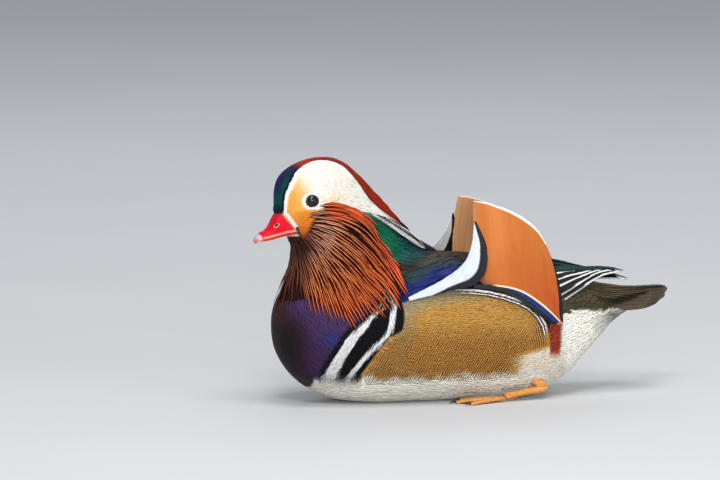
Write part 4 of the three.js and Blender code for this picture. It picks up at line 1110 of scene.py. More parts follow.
def smooth_path(P, times=3):
    P = P.copy()
    for _ in range(times):
        P[1:-1] = P[1:-1] * 0.4 + (P[:-2] + P[2:]) * 0.3
    return P


def coat_ruff():
    """The long hackles, in two pieces: one each side."""
    k = Look("plumage_hackle", 0.55)
    fu, fv, rnd = k.attr("fu"), k.attr("fv"), k.attr("rnd")
    rim = k.math("ABSOLUTE", fv)
    streak = k.noise(1.0, 2, k.pack(k.math("ADD", k.math("MULTIPLY", fv, 3.2), k.math("MULTIPLY", rnd, 90)), k.math("MULTIPLY", fu, 5.0), k.math("MULTIPLY", rnd, 31)))
    vane, shaft = k.attr("tint", "Color"), k.attr("shaft", "Color")
    colour = k.mix(k.step(rim, 0.08, 0.26, 1.0, 0.0), vane, shaft)
    # dark rims and darker roots: partly the hackles' own dark edges and bases, partly painted shadow in the gaps
    # between them
    edge = k.step(k.math("ADD", rim, k.math("MULTIPLY", k.math("SUBTRACT", streak, 0.5), 0.5)), 0.45, 0.85)
    colour = k.mix(k.math("MULTIPLY", edge, 0.95), colour, k.attr("rim", "Color"))
    shade = k.math("MULTIPLY", k.step(fu, 0.0, 0.45, 0.45, 1.0), k.math("ADD", k.math("MULTIPLY", rnd, 0.36), 0.82))
    shade = k.math("MULTIPLY", shade, k.step(streak, 0.3, 0.7, 0.8, 1.0))
    k.set("Base Color", k.mix(1.0, colour, k.mix(shade, (0, 0, 0), (1, 1, 1)), "MULTIPLY"))
    k.set("Specular IOR Level", 0.15)
    k.bump(streak, 0.0002, 0.5)

    r = np.random.default_rng(77)
    tips = []
    for level in range(10):
        ang = -0.44 + 0.02 * level
        while ang < 2.08:
            reach = float(ruff_out(np.array([ang]))[0])
            rad = reach - 14.5 * level + r.normal(0, 2.0) + (2.5 * math.sin(ang * 47) + 1.5 * math.sin(ang * 23 + 1) if level == 0 else 0)
            if rad > 16:
                tips.append((ang + r.normal(0, 0.5) / rad, rad, level))
            ang += (3.5 + 1.6 * float(sm(1.45, 1.8, ang)) * (level < 2)) / max(rad, 18)
    tips = np.array(tips)
    X, Y = 300 + tips[:, 1] * np.cos(tips[:, 0]), 224 + tips[:, 1] * np.sin(tips[:, 0])
    region = (G["ruff"] | CAND_HEAD | (G["x"] > 40)) & (G["Y"] > 204) & ~(G["brow"] | G["crown"]) & FREE
    for side, name in ((1, "hackles_left"), (-1, "hackles_right")):
        find = finder(region & (G["q"][:, 1] * side > 0.5))
        i, ok = find(X, Y)
        ok &= (X > 268)
        i, rad, level = i[ok], tips[ok, 1], tips[ok, 2]
        L = np.maximum(np.minimum(46.0, (rad - 8 - 4 * r.random(len(i))) * PX_MM), 5)
        W = 0.95 + 0.5 * sm(18, 55, rad)
        W = W * (1 - 0.3 * sm(322, 308, G["X"][i]))
        rings = 10
        p, nn = CAND[i].copy(), CAND_N[i].copy()
        P, Q = [p], [nn]
        for k2 in range(1, rings):
            d = -along(head_flow(p), nn)
            p, nq = settle(p + d * (L / (rings - 1))[:, None])
            nn = unit(nn * 0.2 + nq * 0.8)
            P.append(p), Q.append(nn)
        P, Q = np.stack(P[::-1], 1), np.stack(Q[::-1], 1)

        def values(place, hd):
            g = places(place, hd)
            X, Y = g["X"], g["Y"]
            far = np.hypot(X - 303, Y - 226)
            n = len(X)
            # dark maroon close to the cheek, lighter outwards: partly the hackles' own colour, partly painted shade
            # where they lie over one another
            C = np.tile(np.array([86.0, 24, 15]), (n, 1))
            C = blend(C, (100, 31, 18), sm(28, 52, far))
            C = blend(C, (132, 42, 20), sm(52, 92, far))
            top = sm(228, 214, Y) * sm(322, 336, X)
            C = blend(C, (186, 66, 34), top)
            rear = sm(16, 2, g["rear_x"] - X)
            C = blend(C, (178, 58, 32), rear * 0.8)
            front = sm(318, 300, X + (Y - 260) * 0.06)
            C = blend(C, (56, 24, 18), front * 0.85)
            S = np.tile(np.array([240.0, 182, 148]), (n, 1))
            S = blend(S, (240, 152, 92), sm(26, 48, far))
            S = blend(S, (238, 122, 48), sm(50, 84, far))
            S = blend(S, (212, 92, 48), top)
            S = blend(S, (242, 116, 56), rear * 0.8)
            S = blend(S, (140, 84, 56), front * 0.8)
            # dark spot under the bill: partly the plumage's own dark colour, partly painted shadow from the head and
            # bill
            deep = np.exp(-(((X - 303) / 10) ** 2 + ((Y - 248) / 10) ** 2))
            S = blend(S, (70, 32, 24), deep)
            C = blend(C, (30, 10, 8), deep)
            # rim colours: partly the hackles' own dark edges, partly painted shadow in the gaps between them
            R = np.tile(np.array([38.0, 11, 8]), (n, 1))
            R = blend(R, (80, 26, 14), rear * 0.7)
            R = blend(R, (136, 46, 22), top * 0.9)
            R = blend(R, (150, 70, 30), sm(20, 8, far))
            return C, S, R

        def tint(f):
            return values(f["place"], f["head"])[0]

        def extra(place, hd):
            _, S, R = values(place, hd)
            return {"shaft": lin(S), "rim": lin(R)}

        up = 0.12 * r.random(len(i))
        vanes(name, P[:, 0], Q[:, 0], L, W, is_head(P[:, 0]), k.m, 4 + side, rings=rings, lift=(-1.1 + up, 0.85 + up), ridge=0.24, drop=0.08, shape="hackle", sway=0.0, tint=tint, extra=extra, patch=(0.004, 0.008), path=(P, Q), ease=0.7)


def ruff_out(ang):
    """The ruff's outer line in the side plan, as a distance from the cheek."""
    outer = np.array([(272, 318), (281, 309), (292, 298), (300, 300), (307, 304), (314, 312), (319, 314), (329, 323), (338, 322), (344, 321), (356, 328), (368, 320), (380, 318), (388, 315), (394, 310), (400, 306), (407, 298), (405, 285), (402, 276), (395, 262), (388, 252), (383, 245), (378, 235), (372, 224), (364, 217), (356, 212), (345, 208)], float)
    oa = np.arctan2(outer[:, 1] - 224, outer[:, 0] - 300)
    orad = np.hypot(outer[:, 0] - 300, outer[:, 1] - 224)
    k = np.argsort(oa)
    return np.interp(ang, oa[k], orad[k])


def coat_under_ruff():
    """Short dark feathers under the hackles."""
    mask = G["ruff"] & (CAND_HEAD | (CAND[:, 2] > 100))
    i = pick(mask, 1.9)
    k = hair_look("plumage_under_ruff", 0.7, vary=0.4, root=0.6, streak=0.4)
    vanes("coat_under_ruff", CAND[i], CAND_N[i], 11, 0.9, CAND_HEAD[i], k.m, 7, rings=4, lift=(-1.5, -0.75), ridge=0.15, drop=0.1, shape="strand", sway=0.06)


def coat_throat():
    mask = CAND_HEAD & G["face"] & (G["Y"] > 236) | (CAND_HEAD & (G["Y"] > 240) & (G["X"] < G["front_x"] + 3))
    i = pick(mask, 1.15)
    k = hair_look("plumage_throat", 0.8, vary=0.5, root=0.6, streak=0.4, specular=0.08)
    vanes("coat_throat", CAND[i], CAND_N[i], 8, 0.5, CAND_HEAD[i], k.m, 8, rings=5, lift=(-0.7, 0.1), ridge=0.12, drop=0.05, shape="strand", sway=0.1)


def coat_breast():
    mask = ~CAND_HEAD & (G["breast"] | (G["ruff"] & (CAND[:, 2] < 100)) | (CAND[:, 0] > 118)) & (CAND[:, 2] > 16) & ~G["bars"]
    i = pick(mask, 2.2)
    k = hair_look("plumage_breast", 0.6, vary=0.22, root=0.88, streak=0.25, specular=0.15)
    vanes("coat_breast", CAND[i], CAND_N[i], 8.5, 1.7, CAND_HEAD[i], k.m, 9, cols=5, rings=5, lift=(-0.25, -0.19), ridge=0.0, drop=0.01, shape="round", sway=0.05, jitter=0.3, hug=True)


def coat_bars():
    mask = ~CAND_HEAD & G["bars"] & (CAND[:, 2] > 16)
    i = pick(mask, 1.45)
    k = hair_look("plumage_bars", 0.65, vary=0.12, root=0.92, streak=0.12, specular=0.1)

    def tint(f):
        own, at = markings(f["root"], f["head"]), markings(f["place"], f["head"])
        X, Y = side_view(f["place"], f["head"])
        off = X - np.interp(Y, *np.transpose(BLACK_REAR))
        keep = (sm(1.0, 0.6, f["fu"]) * 0.75 * sm(0.3, -1.5, off))[:, None]
        return own * keep + at * (1 - keep)

    vanes("coat_bars", CAND[i], CAND_N[i], 9, 0.7, CAND_HEAD[i], k.m, 10, rings=6, lift=(-0.24, -0.12), ridge=0.015, drop=0.015, shape="strand", sway=0.03, tint=tint)


def flank_look():
    k = Look("plumage_flank", 0.62)
    X, Y, E = k.attr("vx"), k.attr("vy"), k.attr("ve")
    tint = k.attr("tint", "Color")
    fu, fv, rnd = k.attr("fu"), k.attr("fv"), k.attr("rnd")
    # fine dark waves: along the edge above, across the feathers below
    warp = k.math("MULTIPLY", k.math("SUBTRACT", k.noise(130, 3), 0.5), 7.0)
    fine = k.math("MULTIPLY", k.math("SUBTRACT", k.noise(420, 2), 0.5), 2.6)
    bend = k.math("ADD", warp, fine)
    p1 = k.math("ADD", k.math("MULTIPLY", E, 6.283 / 2.1), k.math("MULTIPLY", bend, 0.8))
    slant = k.math("ADD", k.math("MULTIPLY", X, 0.86), k.math("MULTIPLY", Y, 0.52))
    p2 = k.math("ADD", k.math("MULTIPLY", slant, 6.283 / 1.95), k.math("MULTIPLY", bend, 1.6))
    low = k.math("MULTIPLY", k.step(Y, 318, 334), k.step(X, 538, 522))
    s = k.math("ADD", k.math("MULTIPLY", k.math("SINE", p1), k.math("SUBTRACT", 1.0, low)), k.math("MULTIPLY", k.math("SINE", p2), low))
    amount = k.step(s, -0.25, 0.55)
    depth = k.math("ADD", k.step(Y, 310, 348, 0.14, 1.0), k.math("MULTIPLY", k.step(E, 18, 4, 0.0, 0.5), k.step(X, 425, 480, 0.35, 1.0)))
    pale = k.math("MULTIPLY", k.step(k.math("ADD", Y, k.math("MULTIPLY", X, 0.30)), 506, 516), k.step(X, 506, 528))
    depth = k.math("MULTIPLY", depth, k.math("SUBTRACT", 1.0, k.math("MULTIPLY", pale, 0.85)))
    dark = k.mix(k.step(E, 4, 22), (0.035, 0.032, 0.03), (0.06, 0.026, 0.008))
    colour = k.mix(k.math("MULTIPLY", amount, depth), tint, dark)
    # bold lines of the rear upper edge
    bold = k.math("MULTIPLY", k.step(X, 440, 478), k.step(Y, 340, 334))
    e = k.math("ADD", E, k.math("MULTIPLY", k.math("SUBTRACT", k.noise(300, 1), 0.5), 0.7))
    white = k.math("ADD", k.math("MULTIPLY", k.step(e, -0.4, 0.3), k.step(e, 2.1, 1.7)), k.math("MULTIPLY", k.step(e, 3.3, 3.6), k.step(e, 4.7, 4.3)))
    zone = k.math("MULTIPLY", bold, k.step(e, 7.0, 5.2))
    colour = k.mix(zone, colour, k.mix(white, (0.012, 0.012, 0.014), (0.82, 0.81, 0.78)))
    shade = k.math("MULTIPLY", k.step(fu, 0.0, 0.4, 0.97, 1.0), k.math("ADD", k.math("MULTIPLY", rnd, 0.05), 0.97))
    k.set("Base Color", k.mix(1.0, colour, k.mix(shade, (0, 0, 0), (1, 1, 1)), "MULTIPLY"))
    k.set("Specular IOR Level", 0.25)
    k.bump(k.math("ADD", k.math("MULTIPLY", s, 0.3), k.noise(1500, 2)), 0.00004, 0.4)
    return k


def coat_flank():
    k = flank_look()
    for side, name in ((1, "flank_left"), (-1, "flank_right")):
        mask = ~CAND_HEAD & G["flank"] & (CAND[:, 1] * side > 0) & (CAND[:, 2] > 20)
        i = pick(mask, 1.5)

        def extra(place, hd):
            g = places(place, hd)
            e, _ = near_line(g["X"], g["Y"], FLANK_TOP)
            e = np.where(g["Y"] < line(g["X"], FLANK_TOP), -e, e)
            return {"vx": g["X"], "vy": g["Y"], "ve": e}

        def uv(place, hd):
            return np.stack([(place[:, 0] + 100) / 185, (np.arctan2(place[:, 2] - 62, np.abs(place[:, 1])) + 1.1) / 1.9], -1)

        L = 11 - 4 * sm(10, 2, G["edge"][i]) - 3 * sm(440, 415, G["X"][i])
        vanes(name, CAND[i], CAND_N[i], L, 0.85, CAND_HEAD[i], k.m, 12 + side, rings=5, lift=(-0.212, -0.186), ridge=0.005, drop=0.004, shape="strand", sway=0.04, extra=extra, uv_at=uv, jitter=0.0)


def coat_under():
    belly = ~CAND_HEAD & (CAND[:, 2] <= 22) & (CAND[:, 0] > -110) & (CAND[:, 0] < 128)
    tail = ~CAND_HEAD & (CAND[:, 0] < -80) & ~G["flank"] & (G["z"] < 82)
    i = pick(belly | tail, 2.25)
    k = hair_look("plumage_belly", 0.85, vary=0.05, root=0.96, streak=0.06)
    L = np.where(CAND[i, 0] < -84, 9.0, 9.0)
    vanes("coat_under", CAND[i], CAND_N[i], L, 1.25, CAND_HEAD[i], k.m, 15, rings=5, lift=(-0.212, -0.186), ridge=0.005, drop=0.004, shape="strand", sway=0.05)
    rust = ~CAND_HEAD & (G["X"] > 545) & (G["X"] < 563) & (G["Y"] > 316) & (CAND[:, 2] > 20) & (CAND[:, 0] < -60) & (CAND[:, 0] > -92)
    i = pick(rust, 1.2)
    k = hair_look("plumage_rust", 0.75, vary=0.2, root=0.85, streak=0.2)
    vanes("coat_rust", CAND[i], CAND_N[i], 6, 0.7, CAND_HEAD[i], k.m, 16, rings=5, lift=(-0.205, -0.13), ridge=0.01, drop=0.008, shape="strand", sway=0.08, jitter=0.2)


def coat_back():
    top = ~CAND_HEAD & ~G["flank"] & ~G["bars"] & ~G["breast"] & (CAND[:, 2] > 74) & ~((CAND[:, 0] < -80) & (G["z"] < 82)) & ~G["ruff"]
    scap = top & (G["y"] > 12) & (G["x"] < 64) & (G["x"] > -40)
    k = feather_look("plumage_back", 0.75, barb=16, edge=0.15, vary=0.2, root=0.9)
    i = pick(top & ~scap, 3.2)
    vanes("coat_back", CAND[i], CAND_N[i], 14, 3.0, CAND_HEAD[i], k.m, 17, cols=5, rings=5, lift=(-0.5, -0.05), ridge=0.03, drop=0.05, shape="round", sway=0.07)
    k = feather_look("plumage_scapular", 0.5, barb=34, edge=0.7, vary=0.5, specular=0.12)
    i = pick(scap, 5.2)
    vanes("coat_scapular", CAND[i], CAND_N[i], 30, 4.2, CAND_HEAD[i], k.m, 18, cols=7, rings=6, lift=(-1.0, 0.1), ridge=0.10, drop=0.12, shape="point", sway=0.07, jitter=1.6)
    # long coverts that carry the rump over the roots of the tail feathers
    r = np.random.default_rng(91)
    for name, low, count, slot in (("coverts_above", False, 130, "plumage_rump"), ("coverts_under", True, 520, "plumage_rump")):
        w = r.uniform(-1, 1, count)
        x = r.uniform(-150, -112, count)
        root = np.stack([x, w * np.interp(x, [-150, -112], [20, 34]), np.where(low, 66 - 8 * r.random(count), 92 + 0 * x)], -1)
        at, nn = settle(root)
        L = np.where(low, 26.0, 28.0) + r.normal(0, 2, count)
        end = np.stack([at[:, 0] - L, at[:, 1] * 0.86, 0 * L], -1)
        u = np.clip((end[:, 0] + 114) / (TAIL["end"] + 114), 0, 1)
        wide = np.interp(u, [0, 0.4, 0.8, 1], [21, 26, 28, 20])
        top = TAIL["ridge"] - TAIL["droop"] * np.minimum(1, np.abs(end[:, 1]) / wide) ** 1.4 * sm(-0.2, 0.6, u) - 2 * (1 - u)
        end[:, 2] = top + (-3.4 if low else 1.3)
        rings = 7
        t = np.linspace(0, 1, rings)[None, :, None]
        P = at[:, None] * (1 - t) + end[:, None] * t
        bow = np.sin(np.pi * t[..., 0]) * 0.0
        up = np.array([0.1, 0, -0.995 if low else 0.995])
        Q = unit(nn[:, None] * (1 - t) ** 2 + up * (1 - (1 - t) ** 2))
        near, nq = settle(P.reshape(-1, 3))
        near, nq = near.reshape(P.shape), nq.reshape(P.shape)
        # where the straight line would dip into the body it follows the body instead
        inside = ((P - near) * nq).sum(-1) < 0.2
        P = np.where(inside[..., None], near + nq * 0.2, P)
        colour = (236, 233, 224) if low else (82, 72, 52)
        k = hair_look("plumage_" + name, 0.75, vary=0.12, root=0.95, streak=0.15)

        def tint(f, colour=colour):
            return np.tile(np.array(colour, float), (len(f["fu"]), 1))

        vanes(name, P[:, 0], Q[:, 0], L, 2.0 if low else 4.2, np.zeros(count, bool), k.m, 50 + int(low), cols=5, rings=rings, lift=(-0.3, -0.12) if low else (-0.5, 0.1), ridge=0.02, drop=0.02 if low else 0.1, shape="point", sway=0, tint=tint, path=(P, Q), patch=(0.01, 0.02))




# ------------------------------------------------------------- large single feathers
SAIL = dict(
    foot=[(-4, 47, 98.5), (-24, 51, 100.6), (-46, 53, 95.4), (-66, 52, 82.4), (-84, 47, 66)],
    crown=[(-15, 21, 168.5), (-31, 22, 165.5), (-50, 25, 158), (-66, 28, 146.5), (-75, 31, 132.5)],
)
CRESCENT = dict(mid=[(54, 57, 92.5), (22, 57.5, 103), (-3, 52, 113), (-12.5, 42, 131), (-12.8, 31, 153)], width=[3, 11, 20, 14, 1.6])
PRIMARIES = {
    1: [(-40, 40, 103), (-64, 39, 99.5), (-84, 35, 98.5), (-104, 31, 100), (-126, 22, 103), (-150, 12, 103)],
    -1: [(-40, -40, 103), (-64, -39, 99.5), (-84, -36, 98), (-108, -30, 98), (-136, -20, 95.5), (-163, -12, 92.5)],
}
# lower edges of the primaries, innermost first: (place along the wing, height over its middle line)
PRIMARY_LOW = [
    [(0.30, 7.6), (0.41, 7.4), (0.50, 8.2), (0.583, 7.8)],
    [(0.30, 1.0), (0.41, 2.0), (0.57, 4.2), (0.734, 4.2)],
    [(0.30, -7.0), (0.41, -4.4), (0.60, 0.8), (0.824, 3.0)],
    [(0.32, -16.0), (0.43, -11.4), (0.65, -3.0), (0.80, 0.6), (0.918, 1.8)],
    [(0.36, -21.5), (0.462, -15.5), (0.698, -6.2), (0.86, -1.6), (0.992, 0.1)],
]
COVER = [(0.28, 12.0), (0.41, 10.0), (0.583, 8.6), (0.734, 5.2), (0.824, 3.8), (0.918, 2.4), (1.0, 0.6)]
TAIL = dict(start=-108.0, end=-193.0, ridge=88.0, droop=12.0)


def strand(points):
    P = np.asarray(points, float)

    def at(u):
        u = np.clip(np.asarray(u, float), 0, 1)
        x = u * (len(P) - 1)
        i = np.clip(np.floor(x).astype(int), 0, len(P) - 2)
        w = (x - i)[..., None]
        p1, p2 = P[i], P[i + 1]
        p0 = np.where((i > 0)[..., None], P[np.maximum(i - 1, 0)], 2 * P[0] - P[1])
        p3 = np.where((i < len(P) - 2)[..., None], P[np.minimum(i + 2, len(P) - 1)], 2 * P[-1] - P[-2])
        a, b = (p2 - p0) * 0.5, (p3 - p1) * 0.5
        return (2 * p1 - 2 * p2 + a + b) * w**3 + (-3 * p1 + 3 * p2 - 2 * a - b) * w**2 + a * w + p1

    return at


def sided(points, side):
    return [(x, y * side, z) for x, y, z in points]


def grid(nu, nv, u0=0.0, u1=1.0, v0=0.0, v1=1.0):
    return np.meshgrid(np.linspace(u0, u1, nu), np.linspace(v0, v1, nv), indexing="ij")


def sheet(P, T):
    """Closed thin sheet over a grid of places (nu, nv, 3)."""
    nu, nv = P.shape[:2]
    n = unit(np.cross(np.gradient(P, axis=0), np.gradient(P, axis=1)))
    T = np.broadcast_to(np.asarray(T, float), (nu, nv))[..., None] / 2
    co = np.concatenate([(P + n * T).reshape(-1, 3), (P - n * T).reshape(-1, 3)])
    i = np.arange(nu * nv).reshape(nu, nv)
    top = np.stack([i[:-1, :-1], i[1:, :-1], i[1:, 1:], i[:-1, 1:]], -1).reshape(-1, 4)
    b = nu * nv
    ring = np.concatenate([i[:, 0], i[-1, 1:], i[-2::-1, -1], i[0, -2:0:-1]])
    nxt = np.roll(ring, -1)
    return co, np.vstack([top, top[:, ::-1] + b, np.stack([nxt, ring, ring + b, nxt + b], -1)])


def sheets(name, grids, look, nodes=()):
    """Closed sheets joined in one piece; each is (places, thickness, values by name)."""
    co, quads, uv, vals, at = [], [], [], {k: [] for k in grids[0][2]}, 0
    cols = math.ceil(math.sqrt(len(grids)))
    under, soft = [], []
    for j, (P, T, a) in enumerate(grids):
        c, q = sheet(P, T)
        co.append(c), quads.append(q + at)
        soft.append(np.arange(len(q)) < 2 * (P.shape[0] - 1) * (P.shape[1] - 1))
        at += len(c)
        half = len(c) // 2
        U, V = grid(*P.shape[:2])
        cell = np.stack([V.ravel() * 0.46 + 0.02, U.ravel() * 0.96 + 0.02], -1)
        both = np.concatenate([cell, cell + [0.5, 0]])
        uv.append((both + [j % cols, j // cols]) / cols)
        under.append(np.repeat([0.0, 1.0], half))
        for k, v in a.items():
            v = np.broadcast_to(v, P.shape[:2] + np.shape(v)[2:])
            v = v.reshape(half, -1) if v.ndim == 3 else v.ravel()
            vals[k].append(np.concatenate([v, v]))
    ob = mesh_of(name, np.vstack(co), np.vstack(quads), smooth=np.concatenate(soft))
    for k, v in vals.items():
        put(ob, k, np.concatenate(v))
    put(ob, "under", np.concatenate(under))
    put_uv(ob, np.vstack(uv))
    ob.data.materials.append(look)
    if nodes:
        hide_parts(*nodes)
    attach(ob, "root")
    return ob


def ragged(u, count, seed, soft=1):
    """Uneven barb ends along an edge, 0..1."""
    r = np.random.default_rng(seed).random(count)
    for _ in range(soft):
        r = (r + np.roll(r, 1)) / 2
    return np.interp(np.asarray(u) * (count - 1), np.arange(count), r)


def barb_noise(k, u, v, fine, long):
    """Streaks that run along v."""
    return k.noise(1.0, 2, k.pack(k.math("MULTIPLY", u, fine), k.math("MULTIPLY", v, long), 0.0))


# ------------------------------------------------------------------------------ sails
def sail_at(side, U, V):
    foot, crown = strand(sided(SAIL["foot"], side)), strand(sided(SAIL["crown"], side))
    p = foot(U) * (1 - V[..., None]) + crown(U) * V[..., None]
    past = np.maximum(0, U - 1) * sm(0.97, 0.8, V)
    ends = foot(1.0) - foot(0.96), crown(1.0) - crown(0.96)
    p = p + (ends[0] * (1 - V[..., None]) + ends[1] * V[..., None]) * (past / 0.04)[..., None]
    if side < 0:
        # the right sail leans a little farther back at its foot, clear of the crescent
        p[..., 0] -= 14 * np.clip(1 - V, 0, 1) ** 1.3 * sm(0.35, 0, U)
    s = np.sin(np.pi * np.clip(V, 0, 1))
    p[..., 1] += side * 5 * s * (0.5 + 0.5 * np.sin(np.pi * np.minimum(1, U * 1.2)))
    p[..., 0] += 3 * s * np.where(U < 0.5, 0, -(U - 0.5) * 2)
    return p


def build_sails():
    k = Look("sail", 0.7)
    u, v = k.attr("su"), k.attr("sv")
    inner = k.attr("inner")
    streak = barb_noise(k, u, v, 30, 1.0)
    fine = barb_noise(k, u, v, 170, 3.0)
    cloud = barb_noise(k, u, v, 5, 2.2)
    base = k.mix(k.step(v, 0.3, 1.0), tuple(lin((165, 85, 25))), tuple(lin((171, 99, 36))))
    base = k.mix(k.math("MULTIPLY", k.step(u, 0.3, 0.95), k.step(v, 0.85, 0.05)), base, tuple(lin((161, 65, 17))))
    # one lighter band a quarter of the way back, faint soft ones behind it
    glow = k.math("MULTIPLY", k.step(u, 0.10, 0.24), k.step(u, 0.42, 0.27))
    base = k.mix(k.math("MULTIPLY", glow, k.step(v, 0.05, 0.6, 0.1, 0.42)), base, tuple(lin((198, 127, 69))))
    base = k.mix(k.step(streak, 0.4, 0.75, 0.0, 0.24), base, tuple(lin((178, 74, 26))))
    base = k.mix(k.step(fine, 0.4, 0.75, 0.0, 0.12), base, tuple(lin((220, 134, 72))))
    base = k.mix(k.step(cloud, 0.3, 0.7, 0.0, 0.14), base, tuple(lin((216, 122, 56))))
    # brown at the front foot and along the frayed front edge
    foot = k.math("MULTIPLY", k.step(u, 0.26, 0.10), k.step(v, 0.12, 0.02))
    base = k.mix(foot, base, tuple(lin((104, 72, 58))))
    base = k.mix(k.step(u, 0.055, 0.0, 0.0, 0.7), base, tuple(lin((158, 112, 80))))
    # pale margin above, black one behind, cream shaft below
    warp = k.math("MULTIPLY", k.math("SUBTRACT", fine, 0.5), 0.5)
    top = k.math("ADD", k.attr("top"), warp)
    base = k.mix(k.step(top, 1.15, 0.85), base, tuple(lin((250, 246, 236))))
    rear = k.math("ADD", k.attr("rear"), k.math("MULTIPLY", warp, 0.4))
    base = k.mix(k.step(rear, 1.08, 0.92), base, (0.006, 0.008, 0.014))
    base = k.mix(k.step(k.attr("bottom"), 1.0, 0.7), base, tuple(lin((244, 216, 172))))
    brown = k.mix(k.step(streak, 0.3, 0.75), tuple(lin((212, 151, 102))), tuple(lin((232, 175, 122))))
    brown = k.mix(k.step(v, 0.5, 1.0, 0.0, 0.6), brown, tuple(lin((204, 150, 108))))
    brown = k.mix(k.step(top, 1.1, 0.6, 0.0, 0.7), brown, tuple(lin((232, 222, 206))))
    brown = k.mix(k.step(rear, 1.12, 0.88, 0.0, 0.8), brown, (0.02, 0.02, 0.022))
    k.set("Base Color", k.mix(inner, base, brown))
    k.set("Specular IOR Level", 0.25)
    k.bump(k.math("ADD", k.math("MULTIPLY", streak, 0.5), k.math("MULTIPLY", fine, 0.7)), 0.0002, 0.4)
    for side, name in ((1, "sail_left"), (-1, "sail_right")):
        U, V = grid(250, 56)
        # the fringe: barb ends of uneven length, longest at the front of the crown
        fringe = (ragged(U, 240, 21 + side, 1) * 0.7 + ragged(U, 60, 23 + side, 1) * 0.5) * np.interp(U, [0, 0.12, 0.3, 1], [1.5, 1.2, 0.4, 0.3]) / 75
        back = ragged(V, 120, 31 + side, 1) * 0.005
        front = (ragged(V, 90, 35 + side, 0) * 0.012 + ragged(V, 16, 37 + side, 1) * 0.014) * sm(0.1, 0.35, V)
        VV = V * (1 + fringe * sm(0.8, 1, V))
        UU = U * 1.034 * (1 - back * sm(0.95, 1, U)) - front * sm(0.06, 0, U)
        P = sail_at(side, np.maximum(UU, 0), VV) + np.array([-1.0, 0, 0]) * np.minimum(UU, 0)[..., None] * 70
        n = unit(np.cross(np.gradient(P, axis=0), np.gradient(P, axis=1)))
        rib = 0.5 * np.sin(U * 240 + 2.0 * wave(np.stack([U * 30, V * 6, 0 * V], -1).reshape(-1, 3), 6, 4).reshape(U.shape))
        fold = wave(np.stack([U * 60, V * 20, 0 * V], -1).reshape(-1, 3), 22, 9).reshape(U.shape)
        P = P + n * (rib * 0.07 * sm(0.02, 0.2, V) + fold * 0.4 * sm(0, 0.3, V))[..., None]
        tall = np.linalg.norm(sail_at(side, U, 0 * V + 1) - sail_at(side, U, 0 * V), axis=-1)
        long = 78.0
        top = (1 - V) * tall / np.interp(U, [0, 0.06, 0.2, 0.4, 0.6, 1], [0.3, 0.8, 1.3, 2.2, 3.0, 3.0])
        rear = (1.034 - U * 1.034) * long / np.interp(V, [0, 0.1, 0.5, 0.85, 0.93, 1], [3.2, 4.6, 4.2, 2.6, 0.6, 0.01])
        T = 0.15 + 0.9 * (1 - 0.6 * V) * sm(0, 0.03, V) * sm(0, 0.05, 1 - V) * sm(0, 0.03, U) * sm(0, 0.03, 1 - U)
        ob = sheets(name, [(P, T, dict(su=U, sv=V, top=top, rear=rear, bottom=V * tall / np.interp(U, [0, 0.3, 0.5, 1], [0.3, 0.8, 1.1, 1.1])))], k.m, (name,))
        flag = np.empty(len(ob.data.vertices), np.float32)
        ob.data.attributes["under"].data.foreach_get("value", flag)
        put(ob, "inner", flag if side > 0 else 1 - flag)


def build_stripes():
    """Blue outer web of the sail's feather with the black edge under it."""
    k = Look("speculum", 0.34)
    u, d = k.attr("su"), k.attr("down")
    streak = barb_noise(k, u, d, 120, 0.6)
    blue = k.mix(k.step(streak, 0.3, 0.7), tuple(lin((8, 28, 88))), tuple(lin((18, 50, 120))))
    c = k.mix(k.step(k.attr("blue"), 0.9, 1.1), blue, (0.005, 0.005, 0.009))
    c = k.mix(k.step(u, 0.36, 0.26), c, (0.012, 0.011, 0.012))
    c = k.mix(k.math("MULTIPLY", k.step(d, 1.0, 0.7), k.step(u, 0.2, 0.3)), c, tuple(lin((240, 214, 176))))
    c = k.mix(k.math("MULTIPLY", k.step(u, 0.96, 0.985), k.step(d, 5.5, 4.8)), c, tuple(lin((214, 106, 46))))
    k.set("Base Color", c)
    k.set("Specular IOR Level", 0.25)
    k.bump(streak, 0.0002, 0.4)
    for side, name in ((1, "speculum_left"), (-1, "speculum_right")):
        U, V = grid(150, 14)
        foot = strand(sided(SAIL["foot"], side))
        F = foot(U)
        t = unit(np.gradient(F, axis=0))
        down = unit(np.stack([-t[..., 2], 0 * U + side * 0.12, t[..., 0]], -1))
        w = np.interp(U, [0, 0.1, 0.25, 0.4, 0.6, 0.8, 0.93, 1], [3.0, 4.0, 4.8, 6.4, 8.8, 9.2, 6.6, 2.4])
        P = F + np.stack([0 * U, 0 * U + side * 0.5, 0 * U], -1) + down * (V * w)[..., None]
        at, n = settle(P.reshape(-1, 3))
        gap = ((P.reshape(-1, 3) - at) * n).sum(-1)
        lift = np.interp(V.ravel(), [0, 0.3, 1], [1.6, 1.3, 0.8])
        P = (P.reshape(-1, 3) + n * np.maximum(0, lift - gap)[:, None] - n * (np.maximum(0, gap - lift) * sm(0.25, 1.0, V.ravel()) * 0.85)[:, None]).reshape(U.shape + (3,))
        bw = np.interp(U, [0, 0.3, 0.42, 0.7, 0.92, 1], [0.05, 0.1, 2.8, 5.0, 4.8, 2.6])
        sheets(name, [(P, 0.5 - 0.35 * V, dict(su=U, down=V * w, blue=V * w / bw))], k.m)


